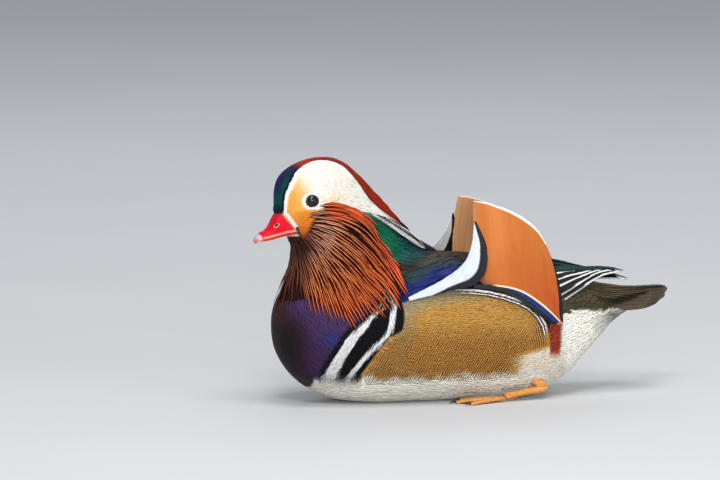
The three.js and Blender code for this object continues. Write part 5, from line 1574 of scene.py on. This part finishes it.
# -------------------------------------------------------------------------- crescents
def build_crescents():
    k = Look("crescent", 0.6)
    u, v, black = k.attr("cu"), k.attr("cv"), k.attr("black")
    barbs = k.noise(1.0, 2, k.pack(k.math("ADD", k.math("MULTIPLY", u, 60), k.math("MULTIPLY", v, 14)), k.math("MULTIPLY", v, 2.4), 0))
    fine = k.noise(1.0, 2, k.pack(k.math("ADD", k.math("MULTIPLY", u, 240), k.math("MULTIPLY", v, 50)), k.math("MULTIPLY", v, 6), 0))
    white = k.mix(k.step(barbs, 0.3, 0.7), tuple(lin((180, 188, 206))), tuple(lin((204, 210, 224))))
    # painted soft blue grey shade where the vane turns over
    shade = k.math("MULTIPLY", k.step(v, 0.32, 0.02), k.math("MULTIPLY", k.step(u, 0.12, 0.35), k.step(u, 0.95, 0.7)))
    white = k.mix(k.math("MULTIPLY", shade, 0.6), white, tuple(lin((164, 180, 208))))
    # the inner face of the far one lies in the other's shade; it is painted a purer white, without the painted blue
    # grey shade, as painted light
    white = k.mix(k.attr("near"), tuple(lin((248, 249, 250))), white)
    ink = k.mix(k.step(fine, 0.3, 0.7), (0.004, 0.004, 0.008), (0.010, 0.010, 0.016))
    k.set("Specular IOR Level", 0.25)
    line = k.math("ADD", black, k.math("MULTIPLY", k.math("SUBTRACT", fine, 0.5), 0.16))
    k.set("Base Color", k.mix(k.step(line, 0.93, 1.07), white, ink))
    k.bump(k.math("ADD", barbs, k.math("MULTIPLY", fine, 0.5)), 0.0003, 0.5)
    for side, name in ((1, "crescent_left"), (-1, "crescent_right")):
        U, V = grid(190, 34)
        line = strand(sided(CRESCENT["mid"], side))
        e = 0.01
        t = unit(line(np.minimum(1, U + e)) - line(np.maximum(0, U - e)))
        out = unit(np.stack([0 * U + 0.15, 0 * U + side, 0.45 * (1 - U)], -1))
        across = unit(np.cross(t, out)) * side
        w = through(np.linspace(0, 1, 5), CRESCENT["width"])(U)
        edge = (ragged(U, 150, 41 + side, 1) - 0.5) * 0.35
        VV = V + np.where(V > 0.5, 1, -1) * edge * sm(0.9, 1.0, np.abs(2 * V - 1)) / np.maximum(w, 3)
        P = line(U) + across * ((VV - 0.5) * w)[..., None]
        # hollow section, with the folds of the vanes that make it up
        P = P + out * (0.9 * (1 - (2 * V - 1) ** 2) * w / 20 + 0.12 * np.sin(V * 22 + U * 9) * sm(2, 8, w))[..., None]
        bw = np.interp(U, [0, 0.14, 0.22, 0.35, 0.5, 0.62, 0.75, 0.9, 1], [0.0, 0.0, 2.0, 5.2, 7.2, 7.4, 6.2, 3.6, 1.8])
        black = V / np.maximum(1 - bw / w, 0.02)
        black = np.where(bw < 0.05, 0, black)
        T = 0.12 + 0.9 * (1 - 0.45 * U) * (1 - np.abs(2 * V - 1) ** 3) * sm(0, 0.04, U) * sm(0, 0.04, 1 - U)
        sheets(name, [(P, T, dict(cu=U, cv=V, black=black, near=0 * U + (side > 0)))], k.m, (name,))


# --------------------------------------------------------------- primaries and tail
def quill_look(name, rough=0.45):
    """Flight feather: own colour with slanting barbs and a shaft."""
    k = Look(name, rough)
    u, v, c = k.attr("fu"), k.attr("fv"), k.attr("tint", "Color")
    slant = k.math("ADD", u, k.math("MULTIPLY", k.math("ABSOLUTE", v), -0.10))
    barbs = k.noise(1.0, 2, k.pack(k.math("MULTIPLY", slant, 210), k.math("MULTIPLY", v, 1.5), k.math("MULTIPLY", k.attr("rnd"), 30)))
    c = k.mix(k.step(barbs, 0.3, 0.7, 0.0, 0.30), c, (0, 0, 0))
    c = k.mix(k.attr("shaft"), c, k.attr("quill", "Color"))
    k.set("Base Color", c)
    k.set("Specular IOR Level", 0.25)
    k.bump(k.math("ADD", barbs, k.math("MULTIPLY", k.attr("shaft"), 1.5)), 0.0002, 0.5)
    return k


def build_primaries():
    k = quill_look("flight")
    across_of = lambda side: unit(np.array([0.05, -0.42 * side, 0.9]))
    for side, name in ((1, "primaries_left"), (-1, "primaries_right")):
        mid, ac = strand(PRIMARIES[side]), across_of(side)
        grids = []
        for j, low in enumerate(PRIMARY_LOW):
            low = np.array(low, float)
            U, V = grid(70, 13)
            S = low[0, 0] + (low[-1, 0] - low[0, 0]) * U
            kl = through(low[:, 0], low[:, 1])(S)
            ku = np.interp(S, *np.transpose(COVER))
            ku = np.maximum(kl + 0.25, kl + (ku + 1.5 - kl) * sm(1.0, 0.86, U))
            H = kl + (ku - kl) * V
            line = mid(S)
            t = unit(mid(np.minimum(1, S + 0.01)) - mid(np.maximum(0, S - 0.01)))
            n = unit(np.cross(t, np.broadcast_to(ac, t.shape))) * -side
            n = np.where(((n[..., 1] * side) < 0)[..., None], -n, n)
            P = line + ac * H[..., None] + n * ((4 - j) * 0.36 + 0.25 * np.sin(np.pi * V))[..., None]
            d = H - kl
            white = sm(1.5, 1.25, d) * sm(0.0, 0.02, 1 - U)
            C = np.zeros(U.shape + (3,)) + np.array([10.0, 11, 13])
            C = C + (np.array([24.0, 56, 46]) - C) * (sm(4, 9, d) * 0.7)[..., None]
            C = C + (np.array([246.0, 246, 244]) - C) * white[..., None]
            shaft = sm(0.45, 0.2, np.abs(d - 3.2)) * 0.8
            grids.append((P, 0.12 + 0.35 * sm(0, 0.1, V) * sm(0, 0.1, 1 - V), dict(fu=U, fv=V * 2 - 1, tint=lin(C), rnd=0 * U + j / 5, shaft=shaft, quill=lin(np.zeros(U.shape + (3,)) + np.array([30.0, 28, 26])))))
        # the dark green feathers that lie along their upper edge
        for j, (a, b, high) in enumerate(((0.26, 0.80, 3.2), (0.30, 1.0, 2.2))):
            U, V = grid(90, 11)
            S = a + (b - a) * U
            kl = np.interp(S, *np.transpose(COVER)) - 0.8 + 0.5 * j
            rag = ragged(U, 70, 60 + j + side, 0)
            w = high * np.interp(U, [0, 0.5, 0.85, 1], [1.6, 1.5, 0.9, 0.1]) + rag * 0.5
            H = kl + w * V
            t = unit(mid(np.minimum(1, S + 0.01)) - mid(np.maximum(0, S - 0.01)))
            n = unit(np.cross(t, np.broadcast_to(ac, t.shape)))
            n = np.where(((n[..., 1] * side) < 0)[..., None], -n, n)
            P = mid(S) + ac * H[..., None] + n * (1.9 + 0.4 * (1 - j))
            C = np.zeros(U.shape + (3,)) + np.array([20.0, 54, 46])
            C = C + (np.array([16.0, 24, 24]) - C) * (sm(0.4, 0.0, V) * 0.8)[..., None]
            C = C + (np.array([44.0, 76, 70]) - C) * (sm(0.8, 1.0, V) * 0.5)[..., None]
            grids.append((P, 0.3, dict(fu=U, fv=V * 2 - 1, tint=lin(C), rnd=0 * U + 0.3 * j, shaft=0 * U, quill=lin(C))))
        grids = [g if g[0].shape[:2] == (70, 13) else g for g in grids]
        sheets(name, grids, k.m)


def tail_at(u, w):
    along_ = np.interp(u, [0, 0.4, 0.8, 1], [21, 26, 28, 20])
    reach = -114 + (TAIL["end"] + 114) * u + np.where(u > 0.3, (u - 0.3) / 0.7 * 19 * np.abs(w) ** 2.4, 0)
    z = TAIL["ridge"] - TAIL["droop"] * np.abs(w) ** 1.4 * sm(-0.2, 0.6, u) - 2 * (1 - u)
    return np.stack([reach, along_ * w, z], -1)


def build_tail():
    k = quill_look("rectrix", 0.6)
    grids = []
    for j in range(14):
        w0 = (j - 6.5) / 7.6
        U, V = grid(60, 13, -0.06, 1.0, -1, 1)
        tipu = 1 + 0.012 * math.cos(j * 2.3)
        f = np.clip(U * tipu, -0.06, 1.05)
        half = 6.6 * np.interp(U, [-0.06, 0.2, 0.7, 1], [0.6, 0.85, 1.05, 0.9]) * np.sqrt(np.clip(1 - (np.clip(U - 0.86, 0, 1) / 0.142) ** 2.6, 0.0, 1)) + 0.05
        rag = 1 - 0.05 * ragged(np.clip(U, 0, 1), 90, 70 + j, 0)
        c = tail_at(f, w0 + 0 * U)
        e = tail_at(f, w0 + 0.01 + 0 * U) - c
        ac = unit(e)
        P = c + ac * (V * half * rag)[..., None]
        k_out = abs(j - 6.5)
        # outer feathers lie under the inner ones, and each leans a little
        P[..., 2] -= k_out * 0.34 + V * np.sign(j - 6.5) * 0.28 + 0.0 * U
        P[..., 2] += 0.5 * (1 - np.abs(V)) - 0.35
        C = np.zeros(U.shape + (3,)) + np.array([70.0, 61, 43])
        C = C + (np.array([50.0, 44, 31]) - C) * (sm(0.5, 0.0, U) * 0.8)[..., None]
        C = C + (np.array([52.0, 44, 33]) - C) * (sm(0.75, 1.0, np.abs(V)) * 0.6)[..., None]
        C = C + (np.array([92.0, 80, 60]) - C) * (sm(0.9, 1.0, U) * 0.5)[..., None]
        T = 0.12 + 0.35 * (1 - np.abs(V)) + 0.8 * sm(0.12, 0.02, np.abs(V)) * (1 - np.clip(U, 0, 1) * 0.8)
        grids.append((P, T, dict(fu=U, fv=V, tint=lin(C), rnd=0 * U + j / 14, shaft=sm(0.10, 0.03, np.abs(V)), quill=lin(np.zeros(U.shape + (3,)) + np.array([46.0, 40, 30])))))
    sheets("rectrices", grids, k.m, ("tail",))


# ------------------------------------------------------------------------------- bill
def build_bill():
    k = Look("bill", 0.3)
    a, hi, base, nostril, lower = (k.attr(s) for s in ("ba", "bh", "bb", "bn", "bl"))
    blotch = k.noise(620, 3)
    fine = k.noise(2600, 2)
    red = k.mix(k.step(a, 54, 72), tuple(lin((204, 5, 39))), tuple(lin((196, 3, 32))))
    red = k.mix(k.step(blotch, 0.4, 0.7, 0.0, 0.2), red, tuple(lin((226, 34, 66))))
    # pale band over the cutting edge, mottled
    band = k.math("MULTIPLY", k.step(hi, 0.7, 1.2), k.step(hi, 3.3, 2.5))
    band = k.math("MULTIPLY", band, k.step(a, 79, 75))
    mott = k.math("MULTIPLY", band, k.step(k.noise(900, 3), 0.36, 0.55, 0.5, 1.0))
    red = k.mix(mott, red, tuple(lin((244, 158, 136))))
    red = k.mix(k.step(hi, 0.9, 0.35), red, tuple(lin((176, 22, 24))))
    # nail
    nail = k.mix(k.step(hi, 3.0, 0.6), tuple(lin((186, 164, 182))), tuple(lin((206, 124, 84))))
    nail = k.mix(k.step(blotch, 0.4, 0.65, 0.0, 0.3), nail, tuple(lin((214, 190, 190))))
    edge = k.math("ADD", a, k.math("MULTIPLY", hi, -0.28))
    red = k.mix(k.step(k.math("ADD", edge, k.math("MULTIPLY", blotch, 1.6)), 77.6, 79.6), red, nail)
    # dark seam along the feathers; the nostril with a pale rim and its opening painted near black, as painted shade
    # inside it
    red = k.mix(k.step(base, 1.1, 0.5), red, tuple(lin((74, 18, 26))))
    red = k.mix(k.math("MULTIPLY", k.step(nostril, 1.25, 1.05), k.step(nostril, 0.7, 0.95)), red, tuple(lin((240, 176, 140))))
    red = k.mix(k.step(nostril, 0.95, 0.75), red, (0.012, 0.006, 0.006))
    under = k.mix(k.step(hi, -0.2, -2.2), tuple(lin((232, 78, 30))), tuple(lin((212, 74, 44))))
    under = k.mix(k.step(blotch, 0.4, 0.7, 0.0, 0.4), under, tuple(lin((238, 108, 62))))
    k.set("Base Color", k.mix(lower, red, under))
    k.set("Roughness", k.step(blotch, 0.3, 0.7, 0.34, 0.46))
    k.set("Specular IOR Level", 0.1)
    k.bump(k.math("ADD", blotch, k.math("MULTIPLY", fine, 0.3)), 0.00025, 0.45)

    def upper(s, phi):
        aa = 49.3 + 34.0 * s
        c, q = np.cos(phi), np.sin(phi)
        mouth, ridge, half, box = (BILL_AT[x](aa) for x in ("mouth", "ridge", "half", "box"))
        close = np.sqrt(np.clip(1 - (np.clip(s - 0.965, 0, 1) / 0.0351) ** 2, 0, 1)) * np.where(s <= 0, 0, 1)
        frm = mouth + 0.2
        hook = 2.3 * sm(80.2, 82, aa)
        top = np.maximum(0.8, ridge - frm)
        b = (half + 3.6 * sm(58, 50, aa)) * power(c, box) * close
        # the cutting edge stands out a little, with a shallow furrow over it
        z = frm + np.where(q > 0, top * np.clip(q, 0, 1) ** (1.25 * box), -(0.02 + hook) * np.clip(-q, 0, 1)) * np.maximum(close, 0.02)
        h = z - mouth
        furrow = np.exp(-(((h - 2.6) / 0.9) ** 2)) * sm(51, 56, aa) * sm(80, 74, aa)
        b = b - np.sign(b) * 0.28 * furrow * (np.abs(b) > 1)
        z = z + 0.25 * np.exp(-(((aa - 79.2) / 0.5) ** 2)) * -np.clip(q, 0, 1)
        return aa, b, z

    def lower_half(s, phi):
        aa = 49.3 + 30.1 * s
        c, q = np.cos(phi), np.sin(phi)
        frm = BILL_AT["mouth"](aa) - 0.2
        deep = np.maximum(0.9, frm - BILL_AT["keel"](aa))
        close = np.sqrt(np.clip(1 - s**6, 0, 1)) * np.where(s <= 0, 0, 1)
        b = (BILL_AT["half"](aa) + 2.6 * sm(58, 50, aa)) * 0.86 * close * power(c, 0.8)
        z = frm + np.where(q < 0, -deep * np.clip(-q, 0, 1) ** 1.1, 0) * np.maximum(close, 0.02)
        return aa, b, z

    for fn, name, node, low in ((upper, "bill_above", "bill_upper", 0.0), (lower_half, "bill_below", "bill_lower", 1.0)):
        def place(s, phi, fn=fn, low=low):
            aa, b, z = fn(s, phi)
            if not low:
                for side in (1, -1):
                    e = nostril_at(aa, z, b * side)
                    b = b - side * 1.5 * sm(1.05, 0.45, e) + side * 0.3 * np.exp(-(((e - 1.25) / 0.28) ** 2)) * (e < 3)
            return np.stack([aa, b, z], -1)

        co, quads, tris = loft_grid(place, 150, 96)
        aa, b, z = co.T
        P = from_head(aa, b, z)
        ob = mesh_of(name, P, quads, tris)
        h = z - BILL_AT["mouth"](np.clip(aa, 49.3, 83.3))
        d, _ = near_line(aa, z, [(49.3, 140), (49.3, 151.6), (51, 154.2), (54.8, 158.9), (58, 162.8), (60.4, 165.2)])
        put(ob, "ba", aa), put(ob, "bh", h), put(ob, "bb", d if not low else d * 0 + 9)
        put(ob, "bn", np.minimum(nostril_at(aa, z, b), nostril_at(aa, z, -b)) if not low else 9 + 0 * aa)
        put(ob, "bl", 0 * aa + low)
        put_uv(ob, np.stack([(aa - 49) / 36 * 0.96 + 0.02, np.where(b >= 0, 0.28, 0.72) + np.where(b >= 0, 1, -1) * (z - 152) / 60], -1))
        ob.data.materials.append(k.m)
        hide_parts(node)
        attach(ob, "root")


def nostril_at(a, z, b):
    """0 in the middle of the left nostril, 1 at its rim."""
    t = 0.6
    x, y = (a - 65.6) * math.cos(t) - (z - 154.2) * math.sin(t), (a - 65.6) * math.sin(t) + (z - 154.2) * math.cos(t)
    e = np.hypot(x / 2.2, y / 1.05)
    return np.where(b > 1.5, e, 9.0)


# ------------------------------------------------------------------------------- eyes
def turned_rings(profile, axis, at, around=64, stretch=(1, 1)):
    """Closed ring or ball from (distance along the axis, radius) pairs."""
    ax = unit(np.asarray(axis, float))
    up = unit(np.array([0, 0, 1.0]) - ax * ax[2])
    fw = np.cross(up, ax)
    phi = np.linspace(0, 2 * np.pi, around, endpoint=False)
    return np.array([at + ax * d + (fw * (math.cos(p) * stretch[0]) + up * (math.sin(p) * stretch[1])) * r for d, r in profile for p in phi])


def build_eyes():
    k = Look("eye", 0.04)
    e, th = k.attr("ea"), k.attr("et")
    fibre = k.noise(1.0, 3, k.pack(k.math("MULTIPLY", th, 9), k.math("MULTIPLY", e, 0.05), 0))
    iris = k.mix(k.step(fibre, 0.3, 0.7), tuple(lin((12, 8, 6))), tuple(lin((26, 15, 9))))
    iris = k.mix(k.step(e, 44, 52), iris, (0.004, 0.003, 0.003))
    k.set("Base Color", k.mix(k.step(e, 25, 28), (0.002, 0.002, 0.003), iris))
    k.set("Specular IOR Level", 0.45)
    rim = Look("lid", 0.5)
    grain = rim.noise(2400, 2)
    rim.set("Base Color", rim.mix(rim.step(grain, 0.35, 0.65), tuple(lin((30, 22, 20))), tuple(lin((66, 50, 44)))))
    rim.bump(grain, 0.0002, 0.5)
    for side, name in ((1, "left"), (-1, "right")):
        at = EYE_AT[side]
        axis = unit(from_head(0.10, side, 0.04, TURN) - from_head(0, 0, 0, TURN))
        n, m = 48, 64
        theta = np.linspace(0, np.pi, n + 2)[1:-1]
        # the cornea bulges a little over the ball
        R = EYE["r"] + 0.35 * np.exp(-((np.degrees(theta) / 34) ** 2)) - 0.05
        co = np.vstack([turned_rings(list(zip(np.cos(theta) * R, np.sin(theta) * R)), axis, at, m), at + axis * (EYE["r"] + 0.3), at - axis * (EYE["r"] - 0.05)])
        idx = np.arange(n * m).reshape(n, m)
        nx = np.roll(idx, -1, 1)
        quads = np.stack([idx[:-1], idx[1:], nx[1:], nx[:-1]], -1).reshape(-1, 4)
        tris = np.vstack([np.stack([np.full(m, n * m), idx[0], nx[0]], -1), np.stack([np.full(m, n * m + 1), nx[-1], idx[-1]], -1)])
        ob = mesh_of("eyeball_" + name, co, quads, tris)
        orient(ob, at)
        ang = np.concatenate([np.repeat(np.degrees(theta), m), [0, 180]])
        round_ = np.concatenate([np.tile(np.linspace(0, 2 * np.pi, m, endpoint=False), n), [0, 0]])
        put(ob, "ea", ang), put(ob, "et", np.cos(round_) * 3 + np.sin(round_) * 2)
        rr = ang / 180 * 0.49
        put_uv(ob, np.stack([0.5 + rr * np.cos(round_), 0.5 + rr * np.sin(round_)], -1))
        ob.data.materials.append(k.m)
        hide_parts("eye_" + name)
        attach(ob, "root")
        # the lids: a ring of skin, a little oval
        profile = [(3.70 + 0.50 * math.sin(q), 5.20 + 0.5 * math.cos(q)) for q in np.linspace(0, 2 * np.pi, 12, endpoint=False)]
        co = turned_rings(profile, axis, at, 72, (1.03, 0.90))
        idx = np.arange(12 * 72).reshape(12, 72)
        a, b = np.roll(idx, -1, 0), np.roll(idx, -1, 1)
        quads = np.stack([idx, a, np.roll(a, -1, 1), b], -1).reshape(-1, 4)
        ob = mesh_of("lid_" + name, co, quads)
        orient(ob, None)
        uv = np.stack([np.repeat(np.arange(12) / 12, 72), np.tile(np.arange(72) / 72, 12)], -1)
        put_uv(ob, uv * 0.9 + 0.05)
        ob.data.materials.append(rim.m)
        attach(ob, "root")


def orient(ob, centre):
    """Turns the faces outwards."""
    import bmesh
    bm = bmesh.new()
    bm.from_mesh(ob.data)
    bmesh.ops.recalc_face_normals(bm, faces=bm.faces)
    bm.to_mesh(ob.data)
    bm.free()


# --------------------------------------------------------------------- legs and feet
FOOT = dict(knee=(-62, 35, 17), heel=(-72, 37, 9.5), mid=(-54, 40, 7), root=(-35, 43, 4.2))
TOE_ENDS = {"inner": (4, 31, 1.2), "middle": (12, 46, 1.2), "outer": (3, 61, 1.2), "hind": (-50, 35, 1.4)}


def tube(points, radii, n=40, around=14, flat=1.0):
    line = strand(points)
    s = np.linspace(0, 1, n)
    c = line(s)
    t = unit(np.gradient(c, axis=0))
    side = unit(np.cross(np.array([0, 0, 1.0]), t))
    up = np.cross(t, side)
    r = np.interp(s, np.linspace(0, 1, len(radii)), radii)
    cap = np.sqrt(np.clip(1 - (np.clip(np.abs(2 * s - 1) - 0.94, 0, 1) / 0.0601) ** 2, 0.003, 1))
    r = r * cap
    phi = np.linspace(0, 2 * np.pi, around, endpoint=False)
    co = c[:, None] + side[:, None] * (np.cos(phi)[None, :, None] * r[:, None, None]) + up[:, None] * (np.sin(phi)[None, :, None] * r[:, None, None] * flat)
    idx = np.arange(n * around).reshape(n, around)
    nx = np.roll(idx, -1, 1)
    quads = np.stack([idx[:-1], nx[:-1], nx[1:], idx[1:]], -1).reshape(-1, 4)
    ends = [n * around, n * around + 1]
    tris = np.vstack([np.stack([np.full(around, ends[0]), nx[0], idx[0]], -1), np.stack([np.full(around, ends[1]), idx[-1], nx[-1]], -1)])
    co = np.vstack([co.reshape(-1, 3), c[0], c[-1]])
    return co, quads, tris, np.concatenate([np.repeat(s, around), [0, 1]])


def build_feet():
    k = Look("foot", 0.5)
    kind, s = k.attr("kind"), k.attr("fs")
    scale = k.noise(700, 2)
    cells = k.t.nodes.new("ShaderNodeTexVoronoi")
    k._in(cells, "Scale", 900.0)
    k.t.links.new(k.where(), cells.inputs["Vector"])
    skin = k.mix(k.step(scale, 0.35, 0.65), tuple(lin((186, 118, 48))), tuple(lin((222, 156, 74))))
    skin = k.mix(k.step(cells.outputs["Distance"], 0.1, 0.5, 0.4, 0.0), skin, tuple(lin((120, 72, 34))))
    web = k.mix(k.step(scale, 0.3, 0.7), tuple(lin((52, 42, 34))), tuple(lin((84, 66, 50))))
    c = k.mix(k.step(kind, 0.4, 0.6), skin, web)
    c = k.mix(k.step(kind, 1.4, 1.6), c, tuple(lin((34, 28, 24))))
    k.set("Base Color", c)
    k.bump(k.math("ADD", cells.outputs["Distance"], scale), 0.0003, 0.6)
    for side, name in ((1, "left"), (-1, "right")):
        for what in ("leg", "foot"):
            parts = []
            F = {q: (v[0], v[1] * side, v[2]) for q, v in FOOT.items()}
            if what == "leg":
                parts.append((*tube([F["knee"], F["heel"], F["mid"], F["root"]], [3.6, 4.3, 3.4, 2.9, 2.8, 3.0], 60, 20), 0.0))
            else:
                root = np.array(F["root"])
                ends = {q: np.array([v[0], v[1] * side, v[2]], float) for q, v in TOE_ENDS.items()}
                lines = {}
                for q, r in (("inner", 2.1), ("middle", 2.3), ("outer", 2.1), ("hind", 1.5)):
                    start = root + (np.array([-1.5, -1.0, -1.4]) if q == "hind" else np.array([0, 0, -1.4]))
                    tip = ends[q]
                    mid = (start + tip) / 2 + np.array([0, 0, 0.5])
                    knobs = [r, r * 1.12, r * 0.86, r * 1.04, r * 0.8, r * 0.92, r * 0.62]
                    parts.append((*tube([start, mid, tip - (tip - start) * 0.06], knobs, 46, 14, 0.86), 0.0))
                    lines[q] = strand([start, mid, tip])
                    d = unit(tip - start)
                    claw = [tip - d * 3.5 + [0, 0, 0.6], tip + d * 0.5 + [0, 0, 0.9], tip + d * 3.2 + [0, 0, -0.5]]
                    parts.append((*tube(claw, [1.05, 0.85, 0.5, 0.12], 18, 10), 2.0))
                for p, q in (("inner", "middle"), ("middle", "outer")):
                    S, T = grid(40, 16)
                    reach = 0.95 - 0.17 * np.sin(np.pi * T)
                    A, B = lines[p](S * reach), lines[q](S * reach)
                    P = A * (1 - T[..., None]) + B * T[..., None]
                    P[..., 2] += -0.2 - 0.5 * np.sin(np.pi * T) + 0.12 * np.sin(T * 19) * S
                    P[..., 2] = np.maximum(P[..., 2], 0.5)
                    c, qd = sheet(P, 0.5)
                    parts.append((c, qd, np.zeros((0, 3), int), np.concatenate([S.ravel(), S.ravel()]), 1.0))
            co, quads, tris, kinds, ss, at = [], [], [], [], [], 0
            for c, qd, tr, sv, kd in parts:
                co.append(c), quads.append(qd + at), tris.append(tr + at)
                kinds.append(np.full(len(c), kd)), ss.append(sv)
                at += len(c)
            co = np.vstack(co)
            co[:, 2] = np.maximum(co[:, 2], 0.05)
            ob = mesh_of(what + "_skin_" + name, co, np.vstack(quads), np.vstack(tris))
            orient(ob, None)
            put(ob, "kind", np.concatenate(kinds)), put(ob, "fs", np.concatenate(ss))
            lo, hi = co.min(0), co.max(0)
            put_uv(ob, np.stack([(co[:, 0] - lo[0]) / (hi[0] - lo[0]) * 0.96 + 0.02, (co[:, 1] - lo[1]) / (hi[1] - lo[1]) * 0.96 + 0.02], -1))
            ob.data.materials.append(k.m)
            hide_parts(what + "_" + name)
            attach(ob, "root")


PARTS = [
    build_bill, build_eyes, build_sails, build_stripes, build_crescents, build_primaries, build_tail, build_feet,
    coat_face, coat_brow, coat_nape, coat_filaments, coat_throat, coat_breast, coat_under_ruff, coat_ruff, coat_bars, coat_flank, coat_under, coat_back,
]


# ------------------------------------------------------------------------- the scene
def stage_and_light():
    co = []
    ys = [(-14.0, 0.0), (12.0, 0.0), (13.0, 0.04), (13.6, 0.3), (14.0, 0.9), (14.2, 2.0)]
    # the floor lies flat all round the bird and curves up only far behind it
    back = np.array([-BACK[0], -BACK[1]]) / np.hypot(BACK[0], BACK[1])
    side = np.array([-back[1], back[0]])
    for d, h in ys:
        for w in (-14.0, 14.0):
            co.append([*(back * d + side * w), h])
    me = bpy.data.meshes.new("floor")
    faces = [(2 * i, 2 * i + 1, 2 * i + 3, 2 * i + 2) for i in range(len(ys) - 1)]
    me.from_pydata(co, [], faces)
    me.polygons.foreach_set("use_smooth", [True] * len(faces))
    ob = bpy.data.objects.new("floor", me)
    bpy.context.scene.collection.objects.link(ob)
    k = Look("floor", 0.9)
    k.set("Base Color", k.mix(k.noise(3, 2), (0.50, 0.51, 0.52), (0.54, 0.55, 0.56)))
    me.materials.append(k.m)
    world = bpy.data.worlds.new("world")
    world.use_nodes = True
    bg = world.node_tree.nodes["Background"]
    bg.inputs[0].default_value = (0.88, 0.92, 1.0, 1)
    bg.inputs[1].default_value = 0.5
    bpy.context.scene.world = world
    area("key", (0.9, 2.2, 2.4), (1.0, 1.0), 44, (1, 0.97, 0.93))
    area("top", (-0.1, 0.9, 3.0), (1.3, 1.3), 43, (1, 0.98, 0.95))
    area("front", (0.62, 2.5, 0.62), (0.9, 0.7), 23, (1, 0.98, 0.95))
    area("fill", (-1.2, 2.4, 0.9), (1.6, 1.2), 16, (0.95, 0.97, 1))
    area("rim", (-0.6, -2.0, 1.8), (1.6, 1.0), 12, (0.95, 0.97, 1))


bpy.context.scene.view_settings.view_transform = "Standard"
camera()
stage_and_light()
make_skin()
for build in PARTS:
    build()
bpy.context.view_layer.update()
